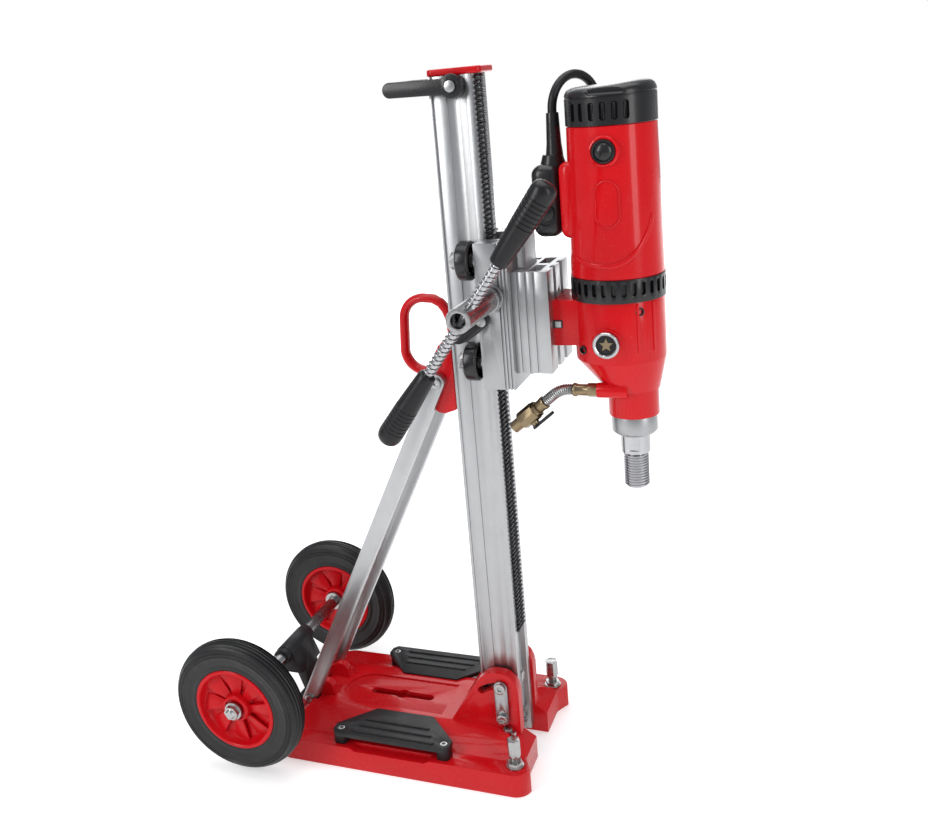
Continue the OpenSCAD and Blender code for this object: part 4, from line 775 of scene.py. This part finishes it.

# %% [markdown]
# ## Lead and hose
# A tube starts as a ring. The ring is pulled, tilted and scaled along the way,
# one station after another. The lead is smooth rubber with a tapered boot that
# keeps it from kinking at the box. The hose is a corrugated steel sleeve, so
# its ring swells and shrinks at every fold.

# %% Tubes
def tube(name, stations, sides=20):
    """Pulls a ring through stations of (x, z, heading in degrees from +Z, radius)."""
    x, z, heading, radius = stations[0]
    piece = circle(name, sides, radius, (x, 0, z), (0, heading, 0))
    bpy.ops.object.mode_set(mode="EDIT")
    bpy.ops.mesh.select_all(action="SELECT")
    for before, after in zip(stations, stations[1:]):
        centre = (after[0] * MM, 0, after[1] * MM)
        step = ((after[0] - before[0]) * MM, 0, (after[1] - before[1]) * MM)
        bpy.ops.mesh.extrude_region_move(TRANSFORM_OT_translate={"value": step})
        if after[2] != before[2]:
            bpy.ops.transform.rotate(value=math.radians(before[2] - after[2]), orient_axis="Y",
                                     center_override=centre)
        if after[3] != before[3]:
            scale = after[3] / before[3]
            bpy.ops.transform.resize(value=(scale, scale, scale), center_override=centre)
    closed_up()
    return piece


LEAD_X, LEAD_R, LEAD_BEND, LEAD_TURN, LEAD_FOOT = 117, 5.5, 40.0, math.radians(60), 838
way = [(0, z, 0, LEAD_R) for z in (LEAD_FOOT, 850, 870)]
for turn in range(0, 181, 6):
    angle = math.radians(turn)
    way.append((LEAD_BEND - LEAD_BEND * math.cos(angle), 890 + LEAD_BEND * math.sin(angle), turn, LEAD_R))
way.append((2 * LEAD_BEND, 882, 180, LEAD_R))
lead = tube("lead_cable", way)
smooth(lead, 60)
lay(lead, rig_point(LEAD_X, 0, 0), (0, 0, 1), (math.cos(LEAD_TURN), math.sin(LEAD_TURN), 0))
stands_for(lead, "lead")
bend_guard = turned("bend_guard", [(5.5, LEAD_FOOT), (10.4, LEAD_FOOT), (10.2, 842), (9.0, 852), (8.5, 864),
                                   (8.0, 876), (7.6, 887), (7.0, 888.4), (5.5, 888.4)], 40)
smooth(bend_guard, 35)
lay(bend_guard, rig_point(LEAD_X, 0, 0), (0, 0, 1), (1, 0, 0))
rides_with(bend_guard, "lead", black_plastic)

HOSE_Y, START_X, START_Z = -33.0, 132.7, 552.0
HOSE_BEND, HOSE_TURN, STRAIGHT = 30.0, math.radians(40), 6.3
FOLDS, FOLD, FOLD_CREST, FOLD_ROOT = 16, 48 / 18, 7.5, 6.1
way = []
for k in range(FOLDS * 2 + 1):
    along = FOLD * k / 2
    angle = min(max(along - STRAIGHT, 0) / HOSE_BEND, HOSE_TURN)
    rest = max(along - STRAIGHT - HOSE_TURN * HOSE_BEND, 0)
    way.append((min(along, STRAIGHT) + HOSE_BEND * math.sin(angle) + rest * math.cos(angle),
                -HOSE_BEND + HOSE_BEND * math.cos(angle) - rest * math.sin(angle),
                90 + math.degrees(angle), FOLD_CREST if k % 2 else FOLD_ROOT))
hose = tube("steel_hose", way, 24)
smooth(hose, 25)
lay(hose, rig_point(START_X, HOSE_Y, START_Z), (0, 0, 1), (-1, 0, 0))
stands_for(hose, "hose", finish=zinc_plate)
print("lead and hose", len(lead.data.polygons), len(hose.data.polygons))

# %% [markdown]
# ## The oil window
# The round window has a steel ring, a dark well and a gilt star in it. The
# star is a circle of ten points, every second one drawn in.

# %% Oil window
STAR_R, STAR_WAIST = 8.5, 0.45
window = turned("window_ring", [(16, -4), (16, 1.6), (15.2, 2.5), (13.2, 2.5), (12.2, 1.6),
                                (12.2, -1.2), (0, -1.2), (0, -4)])
smooth(window, 35)
star = circle("window_star", 10, STAR_R, (0, 0, -1.1))
for vertex in star.data.vertices:
    vertex.select = vertex.index % 2 == 1
for item in list(star.data.edges) + list(star.data.polygons):
    item.select = False
bpy.ops.object.mode_set(mode="EDIT")
bpy.ops.transform.resize(value=(STAR_WAIST, STAR_WAIST, 1), center_override=(0, 0, 0))
bpy.ops.mesh.select_all(action="SELECT")
bpy.ops.mesh.extrude_region_move(TRANSFORM_OT_translate={"value": (0, 0, 0.7 * MM)})
closed_up()
disc = turned("window_well", [(0, -1.15), (12.1, -1.15), (12.1, -0.95), (0, -0.95)], 48)
glass_place = rig_point(183, -64.5, 618)
for piece in (window, star, disc):
    lay(piece, glass_place, (0, -1, 0), (1, 0, 0))
stands_for(window, "sight_glass")
rides_with(star, "sight_glass", brass)
rides_with(disc, "sight_glass", black_paint)
print("window at", tuple(round(c, 4) for c in glass_place))

# %% [markdown]
# ## The motor
# The motor's shell is a slightly conical drum. A broad seat for the switch box
# grows out of its back, and a bead and a long swept ridge decorate its flank.
# Bead and ridge are flat strips first. The Shrinkwrap modifier presses them on
# the drum, and Solidify gives them thickness.

# %% Shell
MOTOR_X, SHELL_FOOT, SHELL_TOP = 187.5, 694.0, 871.5
SHELL_R, SHELL_TOP_R, SHELL_T = 56.5, 53.0, 3.5
BRUSH_X, BRUSH_Z, BEFORE = MOTOR_X + 1, 843.5, -80
shell = turned("motor_shell", [(SHELL_R - 0.8, SHELL_FOOT), (SHELL_R, SHELL_FOOT + 0.9),
                               (SHELL_TOP_R + 0.1, SHELL_TOP - 0.9), (SHELL_TOP_R - 0.7, SHELL_TOP),
                               (SHELL_TOP_R - SHELL_T, SHELL_TOP), (SHELL_R - SHELL_T, SHELL_FOOT)], 128)
set_at(shell, MOTOR_X)
smooth(shell, 35)


def pressed(piece, thick, soft):
    """Presses a flat strip that hangs before the shell on its near flank, and thickens it."""
    modify(piece, "SHRINKWRAP", target=shell, wrap_method="PROJECT",
           use_project_x=False, use_project_y=True, use_project_z=False,
           use_positive_direction=True, use_negative_direction=True)
    in_edit(piece, lambda: bpy.ops.mesh.normals_make_consistent(inside=False))
    modify(piece, "SOLIDIFY", thickness=2 * thick * MM, offset=0)
    bevel(piece, soft, 2, 50)
    smooth(piece, 50)
    return piece


BEAD_X, BEAD_W, BEAD_LOW, BEAD_HIGH = 189.7, 29.5, 755.0, 811.0
bead = circle("flank_bead", 64, BEAD_W / 2, turns=(90, 0, 0))
bpy.ops.object.mode_set(mode="EDIT")
bpy.ops.mesh.select_all(action="DESELECT")
bpy.ops.object.mode_set(mode="OBJECT")
for vertex in bead.data.vertices:
    vertex.select = vertex.co.z > 0.00001
bpy.ops.object.mode_set(mode="EDIT")
bpy.ops.transform.translate(value=(0, 0, (BEAD_HIGH - BEAD_LOW - BEAD_W) * MM))
bpy.ops.mesh.select_all(action="SELECT")
bpy.ops.mesh.inset(thickness=1.9 * MM)
bpy.ops.mesh.delete(type="FACE")
bpy.ops.object.mode_set(mode="OBJECT")
set_at(bead, BEAD_X, BEFORE, BEAD_LOW + BEAD_W / 2)
pressed(bead, 1.5, 0.9)

RIDGE_X, RIDGE_LOW, RIDGE_HALF, RIDGE_W = 190.0, 708.0, 47.5, 6.0
way = []
for step in range(-12, 17):
    turn = math.radians(step * 5)
    rise = 66.0 if step > 0 else 15.0
    way.append((RIDGE_X + RIDGE_HALF * math.sin(turn), RIDGE_LOW + rise * (1 - math.cos(turn))))
ridge = drawn("flank_ridge", way)
bpy.ops.mesh.extrude_region_move(TRANSFORM_OT_translate={"value": (-1.6 * MM, 0, RIDGE_W * MM)})
bpy.ops.object.mode_set(mode="OBJECT")
set_at(ridge, y=BEFORE)
pressed(ridge, 1.9, 1.2)

seat = brick("switch_seat", (126.2, -31, 740), (152, 31, 832))
set_at(seat)
bevel(seat, 11, 5)
smooth(seat, 40)
bosses = []
for side in (-1, 1):
    boss = turned("brush_boss", [(18, 0), (18, 16), (16.8, 17.4), (15.2, 17.8), (14.2, 17.0), (14.2, 0)])
    smooth(boss, 35)
    bosses.append(lay(boss, rig_point(BRUSH_X, side * 39, BRUSH_Z), (0, side, 0), (1, 0, 0)))
joined(shell, bead, ridge, seat, *bosses)
stands_for(shell, "motor_housing")
print("shell", len(shell.data.polygons), "faces")

# %% Brush caps
caps = []
for side in (-1, 1):
    cap = turned("brush_cap", [(14.0, 0), (14.0, 4.4), (13.2, 5.6), (11.4, 5.8), (10.6, 4.6),
                               (10.0, 4.8), (8.6, 6.4), (6.2, 7.6), (3.2, 8.2), (0, 8.4), (0, 0)], 56)
    cut(cap, brick("slit", (-2.6, -0.55, 7.3), (2.6, 0.55, 10)))
    smooth(cap, 35)
    caps.append(lay(cap, rig_point(BRUSH_X, side * 52.5, BRUSH_Z), (0, side, 0), (1, 0, 0)))
joined(*caps)
caps[0].name = "brush_covers"
stands_for(caps[0], "brush_caps")
print("brush covers", len(caps[0].data.polygons), "faces")

# %% [markdown]
# ## End cap
# The cap is turned first. Its long air slots are pockets cut by softened
# boxes. A Lattice then pulls the flat crown into a saddle: low in the middle,
# with a hump towards the front, where a palm rests. A black sheet behind the
# openings of the vent ring is painted shade inside the motor.

# %% Cap
CAP_R, CAP_TOP, SLOT_LOW, SLOT_HIGH, SLOTS, SLOT_STEP = 53.8, 924.0, 877.5, 899.5, 6, 14.5
CAGE_Z, CAGE_H = 914, 22
CAGE_TOP, CAGE_MIDDLE = (-6.0, -6.5, -13.0, 6.5, -9.0), (-2.0, -2.0, -4.0, 2.0, -2.0)
cap = turned("motor_cap", [(0, SHELL_TOP + 0.1), (CAP_R - 0.6, SHELL_TOP + 0.1), (CAP_R, SHELL_TOP + 0.7),
                           (CAP_R, 880), (CAP_R, 890), (CAP_R, 900), (CAP_R, 904.6),
                           (CAP_R - 0.7, 905.4), (CAP_R - 0.7, 906.4), (CAP_R, 907.2), (53.0, 911.5),
                           (51.4, 915.2), (48.8, 918.4), (45, 921.0), (40, 922.8), (34, 923.7),
                           (27, CAP_TOP), (19, CAP_TOP), (10, CAP_TOP), (0, CAP_TOP)], 128)
cutters = []
for side in (-1, 1):
    for k in range(SLOTS):
        cutter = brick("air_slot", (48, -3.6, SLOT_LOW), (62, 3.6, SLOT_HIGH))
        bevel(cutter, 3.3, 3)
        cutter.data.transform(Matrix.Rotation(math.radians(132 - SLOT_STEP * k) * side, 4, "Z"))
        cutters.append(cutter)
cut(cap, joined(*cutters))
cage_data = bpy.data.lattices.new("crown_cage")
cage_data.points_u, cage_data.points_v, cage_data.points_w = 5, 2, 3
cage_data.interpolation_type_u = "KEY_CATMULL_ROM"
cage_data.interpolation_type_v = cage_data.interpolation_type_w = "KEY_LINEAR"
cage = bpy.data.objects.new("crown_cage", cage_data)
bpy.context.scene.collection.objects.link(cage)
cage.location = (0, 0, CAGE_Z * MM)
cage.scale = (2 * CAP_R * MM, 2 * CAP_R * MM, CAGE_H * MM)
for index, point in enumerate(cage_data.points):
    column, layer = index % 5, index // 10
    if layer:
        point.co_deform.z += (CAGE_MIDDLE, CAGE_TOP)[layer - 1][column] / CAGE_H
bpy.context.view_layer.update()
modify(cap, "LATTICE", object=cage)
bpy.data.objects.remove(cage)
scoop = brick("hand_scoop", (-18, -70, 905.6), (34, -46, 917))
bevel(scoop, 4.5, 4)
cut(cap, scoop)
smooth(cap, 32)
set_at(cap, MOTOR_X)
stands_for(cap, "end_cap")
# Painted shade: a black sheet behind the vent ring's openings stands for the shade inside the motor.
vent_shade = turned("vent_painted_shade", [(53.3, 667), (53.3, 693), (50.5, 693), (50.5, 667)])
set_at(vent_shade, MOTOR_X)
rides_with(vent_shade, "vent_ring", black_plastic)
print("cap", len(cap.data.polygons), "faces")

# %% [markdown]
# ## Switch box
# The box is one rounded moulding with a collar at the top, where the lead goes
# in, and a shallow round recess on its near side. Its rocker sits in a pocket
# on the far side.

# %% Switch box
DISH_X, DISH_Z = 108, 772
box = brick("control_box", (90, -24, 741), (126, 24, 829))
bevel(box, 13, 6)
dish = turned("dish", [(0, -3), (15.5, -3), (16.5, 3), (0, 3)], 48)
lay(dish, Vector((DISH_X, -24.4, DISH_Z)) * MM, (0, -1, 0), (1, 0, 0))
cut(box, dish, brick("pocket", (94, 15, 774), (122, 26, 810)))
hub = turned("dish_boss", [(0, -3), (10.5, -3), (10.0, -0.2), (8.5, 0.4), (0, 0.8)], 48)
lay(hub, Vector((DISH_X, -24.2, DISH_Z)) * MM, (0, -1, 0), (1, 0, 0))
collar = turned("lead_collar", [(8.9, 824), (15.5, 824), (15.2, 829), (13.6, 834), (12.6, 838.5),
                                (11.8, 839.5), (8.9, 839.5)], 48)
collar.data.transform(Matrix.Translation((114.5 * MM, 0, 0)))
for piece in (box, hub, collar):
    smooth(piece, 35)
    set_at(piece)
joined(box, hub, collar)
stands_for(box, "switch_box")
print("switch box", len(box.data.polygons), "faces")

# %% [markdown]
# ## Small marks of the gear case
# Four screw wells and a bright square key in its slot show where the gear
# case is held to its arm. The wells and a brick behind the key are black, as
# painted shade in the screw holes and in the slot. Each is a turned or softened
# box, sunk in the wall.

# %% Screw wells and key
wells = []
for name, x, y, z, lean in (("well_a", 221, -44.5, 654, 0.45), ("well_b", 150, -42.5, 606, -0.45),
                            ("well_c", 221, 44.5, 654, 0.45), ("well_d", 150, 42.5, 606, -0.45)):
    well = turned(name, [(5.2, -3), (5.2, 1.0), (4.4, 1.7), (3.4, 1.7), (3.0, -1.5), (0, -1.5), (0, -3)], 32)
    smooth(well, 35)
    wells.append(lay(well, rig_point(x, y, z), (lean, math.copysign(1, y), 0), (0, 0, 1)))
joined(*wells)
# The wells are black as painted shade in the screw holes.
rides_with(wells[0], "gear_housing", black_plastic)
key = brick("arm_key", (-4, -1.5, -4), (4, 1.5, 4))
bevel(key, 0.8)
# Painted shade: a thin black brick behind the key stands for the shade in its slot.
key_slot_shade = brick("arm_slot_shade", (-7, -0.7, -5.2), (5.5, 0.7, 5.2))
bevel(key_slot_shade, 0.6)
for piece, finish in ((key, zinc_plate), (key_slot_shade, black_plastic)):
    lay(piece, rig_point(118, -33.2, 636), (0, 0, 1), (1, 0, 0))
    rides_with(piece, "gear_housing", finish)
print("gear case marks added")

# %% [markdown]
# ## The well of the anchor slot
# The casting turns down round the slot, so that the anchor's head is hidden.
# The well is a box with its top and bottom faces removed, given a wall by the
# Solidify modifier.

# %% Slot well
well = brick("anchor_well", (-222, -12.5, 5), (-114, 12.5, 45.5))
choose(well, lambda face: abs(face.normal.z) > 0.9)
bpy.ops.mesh.delete(type="FACE")
done()
bevel(well, 8, 4, 60)
modify(well, "SOLIDIFY", thickness=2.5 * MM, offset=1)
smooth(well, 40)
set_at(well)
rides_with(well, "base")
print("slot well", len(well.data.polygons), "faces")

# %% [markdown]
# ## The ring handle
# The bracket's body and its web are outlines pulled out to both sides, with
# soft edges. The ring is a round bar: it rises along the web, goes round the
# long oval, and comes back to the body below.

# %% Ring handle
RING_TOP, RING_LOW, RING_R, BAR_R, BAR_WIDER = (-73.0, 634.0), (-76.0, 592.0), 29.3, 6.2, 1.5
BODY_HALF, WEB_HALF = 29.5, 11


def plate(name, outline, half):
    """An outline of (x, z) points in millimetres, pulled out to both sides of the middle plane."""
    piece = drawn(name, outline)
    bpy.ops.mesh.edge_face_add()
    bpy.ops.transform.translate(value=(0, -half * MM, 0))
    bpy.ops.mesh.extrude_region_move(TRANSFORM_OT_translate={"value": (0, 2 * half * MM, 0)})
    closed_up()
    return piece


bracket_body = plate("ring_grip", [(-27.8, 518), (-27.8, 612), (-39, 612), (-47, 605), (-53, 594),
                                   (-59, 577), (-62.5, 560), (-64, 542), (-63.5, 526), (-60, 518),
                                   (-54, 513.5), (-45, 512)], BODY_HALF)
bevel(bracket_body, 2.6, 3, 50)
screw_hole = turned("screw_hole", [(0, -3), (3.2, -3), (3.2, 3), (0, 3)], 24)
lay(screw_hole, Vector((-46, -BODY_HALF, 580)) * MM, (0, -1, 0), (1, 0, 0))
cut(bracket_body, screw_hole)
web = plate("bracket_web", [(-27.8, 600), (-27.8, 650), (-33, 648), (-36, 640), (-38, 600)], WEB_HALF)
bevel(web, 2.0, 3)
for piece in (bracket_body, web):
    smooth(piece, 35)
    set_at(piece)


def round_a_centre(centre, turn):
    """A station of the ring's bar at an angle round one of the oval's two centres."""
    angle = math.radians(turn)
    return (centre[0] + RING_R * math.cos(angle), centre[1] + RING_R * math.sin(angle), -turn, BAR_R)


way = [(-35.5, 600, 0, BAR_R), (-35.5, 622, -2, BAR_R), (-37, 636, -14, BAR_R), (-41, 647, -30, BAR_R),
       (-48, 656.5, -50, BAR_R), (-58, 662, -72, BAR_R)]
way += [round_a_centre(RING_TOP, turn) for turn in range(90, 181, 10)]
way += [round_a_centre(RING_LOW, turn) for turn in range(180, 281, 10)]
way += [(-62, 565.5, -285, BAR_R), (-50, 569, -285, BAR_R)]
ring_bar = tube("ring_bar", way, 24)
smooth(ring_bar, 60)
ring_bar.data.transform(Matrix.Translation(rig_point(0, 0, 0)) @ Matrix.Diagonal((1, BAR_WIDER, 1, 1)))
joined(bracket_body, web, ring_bar)
stands_for(bracket_body, "ring_handle")
print("ring handle", len(bracket_body.data.polygons), "faces")

# %% [markdown]
# ## Ribs of the gear case
# Two upright ribs on each front corner of the case stiffen it. One soft-edged
# box is turned round the motor's axis to each place.

# %% Case ribs
ribs = []
for turn in (-56, -33, 33, 56):
    rib = brick("case_rib", (53.8, -1.7, 603), (57.2, 1.7, 664))
    bevel(rib, 1.1, 3)
    smooth(rib, 40)
    set_at(rib, MOTOR_X, turn=turn)
    ribs.append(rib)
joined(*ribs)
rides_with(ribs[0], "gear_housing")
print("case ribs", len(ribs[0].data.polygons), "faces")
